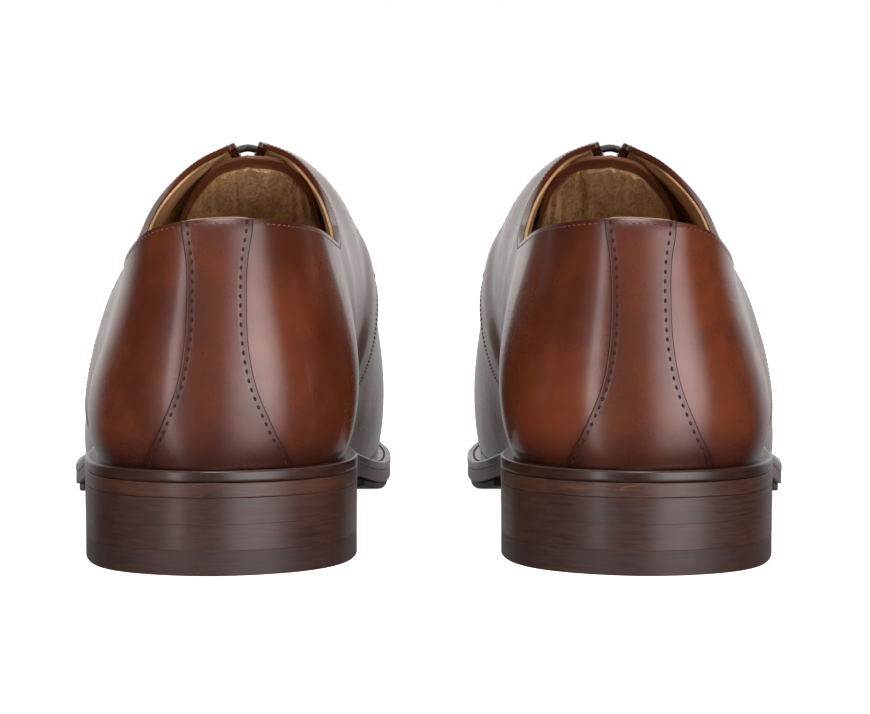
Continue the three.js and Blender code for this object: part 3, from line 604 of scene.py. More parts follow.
class Bench:
    """Turns skins into finished pieces that ride on their bodies."""

    made: list[str] = []

    @staticmethod
    def mesh(name: str, skin: Skin, foot: Foot, weld: bool = False) -> bpy.types.Object:
        """Makes a mesh object in the row frame, facing out.

        Args:
            name: of the piece.
            skin: its mesh.
            foot: the shoe it belongs to.
            weld: whether points that coincide are joined.

        Returns:
            The new object.
        """
        data = bpy.data.meshes.new(name)
        data.from_pydata(GROUND.place(skin.points, foot).tolist(), [], skin.faces)
        for label, values in skin.values.items():
            attribute = data.attributes.new(label, "FLOAT", "POINT")
            attribute.data.foreach_set("value", values.astype(np.float32))
        body = bmesh.new()
        body.from_mesh(data)
        if weld:
            bmesh.ops.remove_doubles(body, verts=body.verts, dist=0.00002)
        if body.calc_volume(signed=True) < 0:
            bmesh.ops.reverse_faces(body, faces=body.faces)
        for face in body.faces:
            face.smooth = True
        body.to_mesh(data)
        body.free()
        return put(name, data)

    @staticmethod
    def round_rims(obj: bpy.types.Object, width: float) -> None:
        """Rounds the sharp rims of a sheet, in millimetres."""
        bevel = obj.modifiers.new("rims", "BEVEL")
        bevel.width = width * MM
        bevel.segments = 3
        bevel.limit_method = "ANGLE"
        bevel.angle_limit = math.radians(50)

    @staticmethod
    def settle(obj: bpy.types.Object) -> None:
        """Turns the object and its modifiers into one plain mesh."""
        bpy.context.view_layer.update()
        graph = bpy.context.evaluated_depsgraph_get()
        data = bpy.data.meshes.new_from_object(obj.evaluated_get(graph))
        obj.modifiers.clear()
        obj.data = data
        for polygon in data.polygons:
            polygon.use_smooth = True

    @classmethod
    def dress(cls, obj: bpy.types.Object, material: bpy.types.Material, body: str, slot: str,
              *nodes: str) -> bpy.types.Object:
        """Gives a piece its finish and its body.

        Args:
            obj: the piece.
            material: its finish.
            body: the body that it rides on.
            slot: the record's material slot; not used.
            nodes: the nodes that it stands for.

        Returns:
            The same piece.
        """
        obj.data.materials.clear()
        obj.data.materials.append(material)
        if nodes:
            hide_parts(*nodes)
        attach(obj, body)
        cls.made.append(obj.name)
        LOG.info("%s: %d faces, rides on %s", obj.name, len(obj.data.polygons), body)
        return obj

    @classmethod
    def panel(cls, node: str, skin: Skin, foot: Foot, finish: str, rim: float, *,
              body: str = "", slot: str = "upper", weld: bool = False,
              work: Callable[[bpy.types.Object], None] | None = None) -> None:
        """Makes a leather panel in place of one node.

        Args:
            node: the node that it stands for.
            skin: its mesh.
            foot: the shoe it belongs to.
            finish: the name of its finish.
            rim: the width of its rounded rims, mm.
            body: the body that it rides on, or nothing for the shoe's own.
            slot: the record's material slot.
            weld: whether points that coincide are joined.
            work: what is done to it before its rims are rounded.
        """
        obj = cls.mesh(f"{node}_leather", skin, foot, weld)
        if work:
            work(obj)
        cls.round_rims(obj, rim)
        cls.settle(obj)
        cls.dress(obj, Wardrobe.get(finish), body or foot.shoe_body, slot, node)


# --------------------------------------------------------------------------- finishes
class Pen:
    """A short way to place and join the nodes of one tree."""

    def __init__(self, tree: bpy.types.NodeTree) -> None:
        """Keeps the tree that nodes go into."""
        self.tree = tree

    def node(self, kind: str, inputs: dict | None = None, **settings: object) -> bpy.types.Node:
        """Adds a node.

        Args:
            kind: the node's type name.
            inputs: values or output sockets for its inputs, by name or number.
            settings: properties of the node.

        Returns:
            The new node.
        """
        made = self.tree.nodes.new(kind)
        for key, value in settings.items():
            setattr(made, key, value)
        for key, value in (inputs or {}).items():
            if isinstance(value, bpy.types.NodeSocket):
                self.tree.links.new(value, made.inputs[key])
            else:
                made.inputs[key].default_value = value
        return made

    def math(self, operation: str, a: object, b: object = 0.0, clamp: bool = False) -> object:
        """The output of a math node on two values or sockets."""
        made = self.node("ShaderNodeMath", {0: a, 1: b}, operation=operation, use_clamp=clamp)
        return made.outputs[0]

    def times(self, a: object, b: object) -> object:
        """The product of two values."""
        return self.math("MULTIPLY", a, b)

    def plus(self, a: object, b: object, clamp: bool = False) -> object:
        """The sum of two values."""
        return self.math("ADD", a, b, clamp)

    def minus(self, a: object, b: object) -> object:
        """The first value less the second."""
        return self.math("SUBTRACT", a, b)

    def group(self, tree: bpy.types.NodeTree, inputs: dict) -> object:
        """The outputs of a shared group, placed with its own values."""
        return self.node("ShaderNodeGroup", inputs, node_tree=tree).outputs

    def ramp(self, value: object, low: float, high: float, a: float = 0.0, b: float = 1.0) -> object:
        """A value eased from a at low to b at high."""
        made = self.node(
            "ShaderNodeMapRange",
            {"Value": value, "From Min": low, "From Max": high, "To Min": a, "To Max": b},
            interpolation_type="SMOOTHSTEP",
        )
        return made.outputs["Result"]

    def blend(self, share: object, a: object, b: object) -> object:
        """The colour a share of the way from a to b."""
        made = self.node("ShaderNodeMix", {0: share, 6: a, 7: b}, data_type="RGBA")
        return made.outputs[2]

    def noise(self, vector: object, scale: float, detail: float = 4.0, rough: float = 0.55,
              distortion: float = 0.0) -> object:
        """The output of a noise texture."""
        made = self.node(
            "ShaderNodeTexNoise",
            {"Vector": vector, "Scale": scale, "Detail": detail, "Roughness": rough,
             "Distortion": distortion},
        )
        return made.outputs["Fac"]

    def stretch(self, vector: object, scale: tuple[float, float, float]) -> object:
        """The vector scaled along each axis."""
        made = self.node("ShaderNodeMapping", {"Vector": vector, "Scale": scale})
        return made.outputs["Vector"]


def shade(red: int, green: int, blue: int) -> tuple[float, float, float, float]:
    """A display colour, 0 to 255, as the linear colour that nodes take."""
    def linear(value: int) -> float:
        """One channel made linear."""
        c = value / 255
        return c / 12.92 if c <= 0.04045 else ((c + 0.055) / 1.055) ** 2.4

    return linear(red), linear(green), linear(blue), 1.0


def new_group(name: str, inputs: dict[str, tuple[str, float | None]],
              outputs: Sequence[str]) -> tuple[bpy.types.NodeTree, Pen, object, object]:
    """An empty shader node group with named sockets.

    Args:
        name: of the group.
        inputs: socket kind and default value, by name.
        outputs: the names of its number outputs.

    Returns:
        The tree, a pen for it, its input sockets and its output node.
    """
    tree = bpy.data.node_groups.new(name, "ShaderNodeTree")
    for label, (kind, value) in inputs.items():
        socket = tree.interface.new_socket(label, in_out="INPUT", socket_type=kind)
        if value is not None:
            socket.default_value = value
    for label in outputs:
        tree.interface.new_socket(label, in_out="OUTPUT", socket_type="NodeSocketFloat")
    pen = Pen(tree)
    source = pen.node("NodeGroupInput").outputs
    sink = pen.node("NodeGroupOutput")
    return tree, pen, source, sink


VECTOR = ("NodeSocketVector", None)


def grain_group() -> bpy.types.NodeTree:
    """Leather grain: fine pores and soft creases as a height, and a slow mottling as a mask."""
    tree, pen, source, sink = new_group(
        "Leather grain",
        {"Vector": VECTOR, "Pores": ("NodeSocketFloat", 1.0), "Creases": ("NodeSocketFloat", 1.0)},
        ["Height", "Mottle"],
    )
    vector = source["Vector"]
    cells = pen.node("ShaderNodeTexVoronoi", {"Vector": vector, "Scale": 1500.0})
    pores = pen.times(pen.ramp(cells.outputs["Distance"], 0.0, 0.42), source["Pores"])
    skin = pen.noise(vector, 420.0, 5.0, 0.6)
    soft = pen.noise(pen.stretch(vector, (1.0, 1.0, 0.35)), 95.0, 3.0, 0.5, 0.6)
    fold = pen.times(soft, source["Creases"])
    height = pen.plus(pen.times(pores, 0.35), pen.times(skin, 0.5))
    height = pen.plus(height, pen.times(fold, 1.6))
    pen.tree.links.new(height, sink.inputs["Height"])
    slow = pen.noise(vector, 26.0, 3.0, 0.5, 0.4)
    fine = pen.noise(vector, 160.0, 4.0, 0.6)
    mottle = pen.plus(pen.times(slow, 0.7), pen.times(fine, 0.3))
    pen.tree.links.new(pen.ramp(mottle, 0.32, 0.68), sink.inputs["Mottle"])
    return tree


def seam_group() -> bpy.types.NodeTree:
    """Masks beside the edges of a leather panel, from distances in millimetres: a dark edge, darkening near
    the rims and low by the welt, and the seam's dent, which the calf also darkens as painted shade.
    """
    tree, pen, source, sink = new_group(
        "Panel edges",
        {"Rim": ("NodeSocketFloat", 50.0), "Foot": ("NodeSocketFloat", 50.0),
         "Seam": ("NodeSocketFloat", 2.2)},
        ["Edge", "Burnish", "Dent"],
    )
    edge = pen.ramp(source["Rim"], 0.15, 0.75, 1.0, 0.0)
    away = pen.math("ABSOLUTE", pen.minus(source["Rim"], source["Seam"]))
    # the seam's dent: a real dent in the relief, and painted shade where the calf darkens its colour
    dent = pen.ramp(away, 0.2, 1.1, 1.0, 0.0)
    # darker within 7 mm of the rims and within 14 mm of the welt
    near = pen.ramp(source["Rim"], 0.0, 7.0, 0.3, 0.0)
    low = pen.ramp(source["Foot"], 0.0, 14.0, 0.8, 0.0)
    rim_and_welt_dark = pen.plus(near, low, clamp=True)
    for label, socket in (("Edge", edge), ("Burnish", rim_and_welt_dark), ("Dent", dent)):
        pen.tree.links.new(socket, sink.inputs[label])
    return tree


def stack_group() -> bpy.types.NodeTree:
    """Layers pressed together: thin dark lines at a pitch and fibres along them."""
    tree, pen, source, sink = new_group(
        "Pressed layers",
        {"Vector": VECTOR, "Pitch": ("NodeSocketFloat", 0.003), "Waver": ("NodeSocketFloat", 0.1)},
        ["Line", "Fibre"],
    )
    split = pen.node("ShaderNodeSeparateXYZ", {"Vector": source["Vector"]})
    drift = pen.noise(pen.stretch(source["Vector"], (1.0, 1.0, 0.2)), 55.0, 2.0)
    count = pen.math("DIVIDE", split.outputs["Z"], source["Pitch"])
    count = pen.plus(count, pen.times(drift, source["Waver"]))
    saw = pen.math("ABSOLUTE", pen.minus(pen.math("FRACT", count), 0.5))
    pen.tree.links.new(pen.ramp(saw, 0.42, 0.5), sink.inputs["Line"])
    fibre = pen.noise(pen.stretch(source["Vector"], (1.0, 1.0, 14.0)), 130.0, 5.0, 0.65)
    pen.tree.links.new(pen.ramp(fibre, 0.3, 0.7), sink.inputs["Fibre"])
    return tree


def scuff_group() -> bpy.types.NodeTree:
    """Light handling marks, as a mask."""
    tree, pen, source, sink = new_group(
        "Handling marks",
        {"Vector": VECTOR, "Amount": ("NodeSocketFloat", 1.0)},
        ["Mark"],
    )
    streak = pen.noise(pen.stretch(source["Vector"], (0.35, 0.35, 2.2)), 240.0, 6.0, 0.7, 1.5)
    patch = pen.noise(source["Vector"], 38.0, 2.0)
    mark = pen.times(pen.ramp(streak, 0.58, 0.72), pen.ramp(patch, 0.5, 0.68))
    pen.tree.links.new(pen.times(mark, source["Amount"]), sink.inputs["Mark"])
    return tree


class Groups:
    """The shared node groups, each built once."""

    grain: bpy.types.NodeTree
    seam: bpy.types.NodeTree
    stack: bpy.types.NodeTree
    scuff: bpy.types.NodeTree

    @classmethod
    def build(cls) -> None:
        """Builds all of them."""
        cls.grain = grain_group()
        cls.seam = seam_group()
        cls.stack = stack_group()
        cls.scuff = scuff_group()


@dataclass(frozen=True)
class Finish:
    """What every finish has: a name, a gloss and a relief."""

    name: str
    dark: tuple[int, int, int]
    light: tuple[int, int, int]
    rough: float = 0.5
    bump: float = 0.05
    coat: float = 0.0
    coat_rough: float = 0.1
    metal: float = 0.0
    specular: float = 0.5

    def start(self) -> tuple[bpy.types.Material, Pen, bpy.types.Node, object]:
        """Makes the material with its shader.

        Returns:
            The material, a pen for its tree, the shader node and the object coordinates.
        """
        material = bpy.data.materials.new(self.name)
        material.use_nodes = True
        tree = material.node_tree
        tree.nodes.clear()
        pen = Pen(tree)
        shader = pen.node("ShaderNodeBsdfPrincipled", {
            "Metallic": self.metal,
            "Coat Weight": self.coat,
            "Coat Roughness": self.coat_rough,
            "Specular IOR Level": self.specular,
        })
        pen.node("ShaderNodeOutputMaterial", {"Surface": shader.outputs["BSDF"]})
        where = pen.node("ShaderNodeTexCoord").outputs["Object"]
        return material, pen, shader, where

    def finish(self, pen: Pen, shader: bpy.types.Node, color: object, rough: object,
               height: object) -> None:
        """Joins colour, roughness and relief to the shader."""
        bump = pen.node("ShaderNodeBump", {
            "Strength": 1.0, "Distance": self.bump * MM, "Height": height,
        })
        pen.tree.links.new(color, shader.inputs["Base Color"])
        pen.tree.links.new(rough, shader.inputs["Roughness"])
        pen.tree.links.new(bump.outputs["Normal"], shader.inputs["Normal"])

    def build(self) -> bpy.types.Material:
        """A plain mottled material: board, cork, thread, cloth or metal."""
        material, pen, shader, where = self.start()
        fine = pen.noise(where, 700.0, 5.0, 0.6)
        slow = pen.noise(where, 60.0, 3.0)
        share = pen.ramp(pen.plus(pen.times(fine, 0.5), pen.times(slow, 0.5)), 0.35, 0.65)
        color = pen.blend(share, shade(*self.dark), shade(*self.light))
        rough = pen.ramp(slow, 0.3, 0.7, self.rough - 0.06, self.rough + 0.06)
        self.finish(pen, shader, color, rough, fine)
        return material


@dataclass(frozen=True)
class Calf(Finish):
    """Polished calf: warm brown, darker beside edges and low on the foot, with painted shade in its seams'
    dents.
    """

    burnt: tuple[int, int, int] = (50, 21, 14)
    edge: tuple[int, int, int] = (34, 15, 11)
    seam: float = 2.2
    creases: float = 1.0
    dent_shade: float = 0.28
    dent_depth: float = 1.3
    edge_rough: float = 0.15
    spread: float = 0.04

    def build(self) -> bpy.types.Material:
        """Mottled colour, darker near rims and the welt, seam dents with painted shade, pores and a wax
        coat.
        """
        material, pen, shader, where = self.start()
        grain = pen.group(Groups.grain, {"Vector": where, "Creases": self.creases})
        rim, foot = [pen.node("ShaderNodeAttribute", attribute_name=label).outputs["Fac"]
                     for label in ("rim", "foot")]
        panel = pen.group(Groups.seam, {"Rim": rim, "Foot": foot, "Seam": self.seam})
        color = pen.blend(grain["Mottle"], shade(*self.dark), shade(*self.light))
        # darker near the panel rims and low on the upper, by the welt
        color = pen.blend(panel["Burnish"], color, shade(*self.burnt))
        # painted shade: each seam's dent is darkened towards the dark tone
        color = pen.blend(pen.times(panel["Dent"], self.dent_shade), color, shade(*self.burnt))
        color = pen.blend(panel["Edge"], color, shade(*self.edge))
        rough = pen.ramp(grain["Mottle"], 0.0, 1.0, self.rough + self.spread,
                         self.rough - self.spread)
        rough = pen.plus(rough, pen.times(panel["Edge"], self.edge_rough))
        height = pen.minus(grain["Height"], pen.times(panel["Dent"], self.dent_depth))
        self.finish(pen, shader, color, rough, height)
        return material


@dataclass(frozen=True)
class Lining(Finish):
    """Undyed lining leather: matt, tan, with soft wrinkles whose lines are darkened as painted shade."""

    soil: tuple[int, int, int] = (96, 62, 36)
    wrinkles: float = 0.0
    wrinkle_shade: float = 0.6
    wrinkle_depth: float = 1.5
    creases: float = 0.5
    stain: float = 0.45
    spread: float = 0.05

    def build(self) -> bpy.types.Material:
        """Tan leather with slow stains and fine wandering wrinkles, dented and darkened with painted shade.
        """
        material, pen, shader, where = self.start()
        grain = pen.group(Groups.grain, {"Vector": where, "Creases": self.creases})
        stain = pen.ramp(pen.noise(where, 34.0, 4.0, 0.6, 0.8), 0.45, 0.8, 0.0, self.stain)
        color = pen.blend(grain["Mottle"], shade(*self.dark), shade(*self.light))
        color = pen.blend(stain, color, shade(*self.soil))
        fold = pen.noise(pen.stretch(where, (1.0, 0.6, 0.3)), 330.0, 3.0, 0.55, 1.4)
        wrinkle = pen.ramp(pen.math("ABSOLUTE", pen.minus(fold, 0.5)), 0.0, 0.05, 1.0, 0.0)
        wrinkle = pen.times(wrinkle, self.wrinkles)
        # painted shade: the wrinkle lines are darkened towards the stain colour
        color = pen.blend(pen.times(wrinkle, self.wrinkle_shade), color, shade(*self.soil))
        rough = pen.ramp(grain["Mottle"], 0.0, 1.0, self.rough + self.spread,
                         self.rough - self.spread)
        height = pen.minus(grain["Height"], pen.times(wrinkle, self.wrinkle_depth))
        self.finish(pen, shader, color, rough, height)
        return material


@dataclass(frozen=True)
class Stacked(Finish):
    """The dressed edge of pressed leather layers."""

    line: tuple[int, int, int] = (26, 16, 13)
    pitch: float = 3.05
    mark: float = 0.6
    fleck: tuple[int, int, int] = (142, 90, 58)
    flecks: float = 0.1
    fibre_share: float = 0.55
    worn: float = 0.15
    spread: float = 0.08

    def build(self) -> bpy.types.Material:
        """Fibres and faint layer lines under edge wax."""
        material, pen, shader, where = self.start()
        stack = pen.group(Groups.stack, {"Vector": where, "Pitch": self.pitch * MM})
        marks = pen.group(Groups.scuff, {"Vector": where})
        slow = pen.ramp(pen.noise(where, 30.0, 3.0), 0.35, 0.7)
        share = pen.plus(pen.times(stack["Fibre"], self.fibre_share),
                         pen.times(slow, 1 - self.fibre_share))
        color = pen.blend(share, shade(*self.dark), shade(*self.light))
        line = pen.times(stack["Line"], self.mark)
        color = pen.blend(line, color, shade(*self.line))
        color = pen.blend(pen.times(marks["Mark"], self.flecks), color, shade(*self.fleck))
        fibre = pen.ramp(stack["Fibre"], 0.0, 1.0, self.rough, self.rough + self.spread)
        rough = pen.plus(fibre, pen.times(marks["Mark"], self.worn))
        height = pen.minus(pen.times(stack["Fibre"], 0.5), line)
        self.finish(pen, shader, color, rough, height)
        return material


class Wardrobe:
    """Every finish of the pair, built when first asked for."""

    finishes: dict[str, Finish] = {
        "calf": Calf("Polished calf", (78, 34, 18), (116, 56, 30), 0.27, 0.028, 0.4, 0.1,
                     seam=1.3),
        "strip": Calf("Back strip calf", (76, 34, 18), (108, 54, 32), 0.28, 0.03, 0.35, 0.12,
                      seam=1.5, creases=0.6),
        "tongue": Calf("Tongue calf", (92, 48, 28), (124, 70, 44), 0.36, 0.035, 0.25, 0.15,
                       burnt=(74, 36, 22), edge=(110, 64, 40)),
        "lining": Lining("Lining leather", (168, 126, 80), (214, 172, 122), 0.62, 0.14),
        # painted shade: this lining's wrinkle lines are darkened
        "tongue_lining": Lining("Tongue lining leather", (176, 134, 88), (220, 180, 130), 0.62,
                                0.14, wrinkles=0.8),
        "welt": Stacked("Dressed welt", (40, 22, 16), (66, 38, 28), 0.3, 0.02, 0.35, 0.12,
                        pitch=9.0, mark=0.0),
        "outsole": Stacked("Outsole edge", (52, 30, 21), (90, 55, 38), 0.36, 0.04, 0.2, 0.18,
                           pitch=9.0, mark=0.0, flecks=0.75),
        "heel": Stacked("Heel stack", (48, 28, 22), (80, 50, 40), 0.36, 0.02, 0.15, 0.18,
                        mark=0.22),
        "top_lift": Stacked("Top lift rubber", (50, 33, 29), (72, 50, 44), 0.42, 0.03,
                            pitch=9.0, mark=0.0),
        "rubber": Finish("Sole rubber", (20, 18, 19), (34, 31, 33), 0.5, 0.04),
        "lace": Finish("Waxed lace", (30, 17, 13), (52, 32, 25), 0.48, 0.12, 0.15),
        "thread": Finish("Brown thread", (96, 48, 34), (134, 76, 56), 0.6, 0.04),
        "dark_thread": Finish("Dark brown thread", (62, 28, 19), (88, 44, 30), 0.7, 0.04,
                              specular=0.2),
        # painted shade: near-black marks that stand in for the shadow inside the needle holes
        "hole": Finish("Needle holes", (10, 6, 5), (18, 10, 8), 0.85, 0.01),
        "cork": Finish("Cork", (122, 86, 52), (176, 132, 84), 0.9, 0.3),
        "board": Finish("Insole board", (168, 136, 96), (196, 164, 120), 0.8, 0.05),
        "stiffener": Finish("Stiffener board", (150, 120, 86), (178, 148, 110), 0.85, 0.05),
        "steel": Finish("Shank steel", (110, 112, 116), (150, 152, 156), 0.35, 0.02, metal=1.0),
        "pin": Finish("Brass pins", (150, 110, 56), (182, 142, 80), 0.38, 0.02, metal=1.0),
    }
    built: dict[str, bpy.types.Material] = {}

    @classmethod
    def get(cls, name: str) -> bpy.types.Material:
        """The named material."""
        if name not in cls.built:
            cls.built[name] = cls.finishes[name].build()
        return cls.built[name]


# --------------------------------------------------------------------------- stitching
@dataclass
class Seam:
    """A line of stitches on a surface, in millimetres on the left last."""

    points: Array
    normals: Array


@dataclass(frozen=True)
class Stitch:
    """One kind of stitch, or the dark marks of painted shade in needle holes, in millimetres.

    size is its half length, half width and half height. shift is how far it is moved along,
    across and up. slant is how far it is turned from the line, in degrees.
    """

    pitch: float
    size: tuple[float, float, float]
    slant: float = 0.0
    shift: tuple[float, float, float] = (0.0, 0.0, 0.02)
    finish: str = "thread"

    def hole(self, size: tuple[float, float, float]) -> "Stitch":
        """The dark mark of painted shade in the needle hole between this stitch and the next."""
        return Stitch(self.pitch, size, 0.0, (self.pitch / 2, 0.0, 0.0), "hole")


class StitchTree:
    """Geometry nodes that set one small rounded solid at each pitch along seam lines."""

    def __init__(self) -> None:
        """Builds the tree and keeps its sockets' identifiers by name."""
        tree = bpy.data.node_groups.new("Stitch row", "GeometryNodeTree")
        self.tree = tree
        self.sockets: dict[str, str] = {}
        kinds = {
            "Geometry": "NodeSocketGeometry", "Pitch": "NodeSocketFloat",
            "Size": "NodeSocketVector", "Shift": "NodeSocketVector",
            "Slant": "NodeSocketFloat", "Material": "NodeSocketMaterial",
        }
        for label, kind in kinds.items():
            socket = tree.interface.new_socket(label, in_out="INPUT", socket_type=kind)
            self.sockets[label] = socket.identifier
        tree.interface.new_socket("Geometry", in_out="OUTPUT", socket_type="NodeSocketGeometry")
        pen = Pen(tree)
        source = pen.node("NodeGroupInput").outputs
        curve = pen.node("GeometryNodeMeshToCurve", {"Mesh": source["Geometry"]})
        points = pen.node("GeometryNodeCurveToPoints", {
            "Curve": curve.outputs["Curve"], "Length": source["Pitch"],
        }, mode="LENGTH")
        lift = pen.node("GeometryNodeInputNamedAttribute", {"Name": "lift"},
                        data_type="FLOAT_VECTOR")
        along = pen.node("FunctionNodeAlignRotationToVector", {
            "Vector": points.outputs["Tangent"],
        }, axis="X")
        upright = pen.node("FunctionNodeAlignRotationToVector", {
            "Rotation": along.outputs["Rotation"], "Vector": lift.outputs["Attribute"],
        }, axis="Z", pivot_axis="X")
        ball = pen.node("GeometryNodeMeshUVSphere", {"Segments": 8, "Rings": 5, "Radius": 1.0})
        rows = pen.node("GeometryNodeInstanceOnPoints", {
            "Points": points.outputs["Points"], "Instance": ball.outputs["Mesh"],
            "Rotation": upright.outputs["Rotation"], "Scale": source["Size"],
        })
        spin = pen.node("ShaderNodeCombineXYZ", {"Z": source["Slant"]})
        slanted = pen.node("GeometryNodeRotateInstances", {
            "Instances": rows.outputs["Instances"], "Rotation": spin.outputs["Vector"],
        })
        moved = pen.node("GeometryNodeTranslateInstances", {
            "Instances": slanted.outputs["Instances"], "Translation": source["Shift"],
        })
        real = pen.node("GeometryNodeRealizeInstances", {"Geometry": moved.outputs["Instances"]})
        dyed = pen.node("GeometryNodeSetMaterial", {
            "Geometry": real.outputs["Geometry"], "Material": source["Material"],
        })
        pen.node("NodeGroupOutput", {"Geometry": dyed.outputs["Geometry"]})

    def sew(self, name: str, seams: Sequence[Seam], foot: Foot,
            stitch: Stitch) -> bpy.types.Object:
        """Makes one mesh of stitches or needle holes along several seams.

        Args:
            name: of the piece.
            seams: the lines that they follow.
            foot: the shoe.
            stitch: the kind of stitch, or of painted needle-hole shade.

        Returns:
            The piece as a plain mesh.
        """
        points = np.concatenate([s.points for s in seams])
        normals = np.concatenate([s.normals for s in seams])
        edges, first = [], 0
        for seam in seams:
            edges += [(first + i, first + i + 1) for i in range(len(seam.points) - 1)]
            first += len(seam.points)
        data = bpy.data.meshes.new(name)
        data.from_pydata(GROUND.place(points, foot).tolist(), edges, [])
        lift = data.attributes.new("lift", "FLOAT_VECTOR", "POINT")
        lift.data.foreach_set("vector", GROUND.turn(normals, foot).astype(np.float32).ravel())
        obj = put(name, data)
        row = obj.modifiers.new("stitches", "NODES")
        row.node_group = self.tree
        row[self.sockets["Pitch"]] = stitch.pitch * MM
        row[self.sockets["Size"]] = [s * MM for s in stitch.size]
        row[self.sockets["Shift"]] = [s * MM for s in stitch.shift]
        row[self.sockets["Slant"]] = math.radians(stitch.slant) * foot.value
        row[self.sockets["Material"]] = Wardrobe.get(stitch.finish)
        Bench.settle(obj)
        return obj


# --------------------------------------------------------------------------- the upper
@dataclass
class Upper:
    """The vamp, the two quarters and the back strip, over the last."""

    foot: Foot
    upper_low: float = 2.6
    stand: float = -0.012
    quarter_columns: int = 116
    rows: int = 46
    strip_edge: tuple[float, ...] = (1.02, 0.74, 0.52, 0.43, 0.42, 0.46, 0.58)
    strip_low: float = 4.0
    strip_thick: float = 0.7
    taper: float = 8.0
    rim_low: float = 2.35
    rim_shade: float = 0.9
    seam_rib: float = 0.02
    throat_gap: float = 0.04
    throat_ease: tuple[float, float] = (0.012, 0.02)
    vamp_hidden: float = 6.0
    vamp_rim: float = 3.4
    punch_radius: float = 1.75
    punch_reach: float = 9.0
    strip_taper: float = 2.5
    strip_drop: float = 0.3
    strip_sink: float = 0.15
    strip_rim: float = 3.5
    strip_shade: float = 0.25

    def build(self) -> None:
        """Makes every panel of the upper."""
        self.vamp()
        for flank in Flank:
            self.quarter(flank)
        self.back_strip()

    def name(self, piece: str) -> str:
        """A node name of this shoe."""
        return f"{self.foot.prefix}_{piece}"

    def vamp(self) -> None:
        """The forepart in one piece, from under one quarter round the toe to the other."""
        b = np.linspace(0, 1, 64) ** 0.97
        v = mix(self.stand, 1.0, b)
        a = np.linspace(0, 1, 261)
        behind = {}
        before, ease = self.throat_ease
        for flank in Flank:
            throat = LAST.quarter_top(flank, np.array(THROAT_RIB))
            front = LAST.quarter_front(flank, np.clip(v, 0, 1) / throat) - LAST.lap
            near = smooth((v - throat + before) / ease)
            behind[flank] = mix(front, THROAT_RIB + self.throat_gap, near)
        start = behind[Flank.MEDIAL][None, :]
        end = ROUND - behind[Flank.LATERAL][None, :]
        r = mix(start, end, a[:, None])
        v = np.broadcast_to(v, r.shape)
        outer, _ = LAST.surface(r, v, LAST.upper_outer)
        inner, _ = LAST.surface(r, v, self.upper_low)
        walked = lengths(outer, 0)
        rim = np.minimum(walked, walked[-1:] - walked) - self.vamp_hidden
        values = {"rim": np.maximum(rim, self.vamp_rim), "foot": lengths(outer, 1)}
        skin = shell(outer, inner, values, "lrb")
        Bench.panel(self.name("vamp"), skin, self.foot, "calf", 0.3, weld=True)

    def quarter_grid(self, flank: Flank) -> tuple[Array, Array]:
        """Places (r, v) over one quarter, as columns from the heel seam to its front edge."""
        corner = (RIDGE_RIB - self.seam_rib) / (THROAT_RIB - self.seam_rib)
        back = round(self.quarter_columns * corner)
        a = np.concatenate([
            np.linspace(0, corner, back + 1)[:-1],
            np.linspace(corner, 1, self.quarter_columns - back + 1),
        ])[:, None]
        b = np.linspace(0, 1, self.rows + 1)[None, :]
        s = mix(self.seam_rib, LAST.quarter_front(flank, b), a)
        top = LAST.quarter_top(flank, mix(self.seam_rib, THROAT_RIB, a))
        return s * flank.value, mix(self.stand, top, b)

    def quarter(self, flank: Flank) -> None:
        """One quarter, lapped over the vamp, with its eyelets punched."""
        r, v = self.quarter_grid(flank)
        lifted = LAST.quarter_out(flank, np.abs(r), np.clip(v, 0, 1))
        outer, _ = LAST.surface(r, v, LAST.upper_outer + lifted)
        down = lengths(outer, 1)
        from_top = down[:, -1:] - down
        back = lengths(outer, 0)
        from_front = back[-1:] - back
        fold = smooth(1 - from_top / self.taper)
        inner, _ = LAST.surface(r, v, mix(self.upper_low + lifted, self.rim_low, fold))
        values = {"rim": np.minimum(from_top + self.rim_shade, from_front), "foot": down}
        Bench.panel(self.name(f"quarter_{flank.word}"), shell(outer, inner, values), self.foot,
                    "calf", 0.42, work=lambda obj: self.punch(obj, flank))

    def punch(self, obj: bpy.types.Object, flank: Flank) -> None:
        """Cuts the eyelet holes out of a quarter."""
        eyelets = Lacing(self.foot).eyelets(flank)
        ways = eyelets.normals * self.punch_reach
        skins = [tube(np.stack([p - way, p, p + way]), np.full(3, self.punch_radius), 20)
                 for p, way in zip(eyelets.points, ways)]
        points = np.concatenate([s.points for s in skins])
        size = len(skins[0].points)
        faces = [[k + i * size for k in face] for i, s in enumerate(skins) for face in s.faces]
        cutter = Bench.mesh("punch", Skin(points, faces, {}), self.foot)
        cut = obj.modifiers.new("eyelets", "BOOLEAN")
        cut.operation = "DIFFERENCE"
        cut.solver = "EXACT"
        cut.object = cutter
        Bench.settle(obj)
        bpy.data.objects.remove(cutter)

    def strip_half(self, v: Array) -> Array:
        """Half the width of the back strip, in ribs, at each height."""
        knots = np.array(self.strip_edge)[:, None]
        return spline(knots, np.clip(v, 0, 1) * (len(knots) - 1))[..., 0]

    def back_strip(self) -> None:
        """The narrow strip that covers the heel seam."""
        v = np.linspace(self.stand, 1.0, 72)[None, :]
        a = np.linspace(-1, 1, 33)[:, None]
        r = a * self.strip_half(v)
        v = np.broadcast_to(v, r.shape)
        face = self.strip_low + self.strip_thick
        outer, _ = LAST.surface(r, v, face)
        down = lengths(outer, 1)
        from_top = down[:, -1:] - down
        fold = smooth(1 - from_top / self.strip_taper)
        outer, _ = LAST.surface(r, v, face - self.strip_drop * fold)
        inner, _ = LAST.surface(r, v, mix(self.strip_low - self.strip_sink, self.strip_rim, fold))
        across = lengths(outer, 0)
        sides = np.minimum(across, across[-1:] - across) + self.strip_shade
        values = {"rim": np.minimum(sides, from_top + self.rim_shade), "foot": down}
        Bench.panel(self.name("back_strip"), shell(outer, inner, values), self.foot, "strip", 0.3)


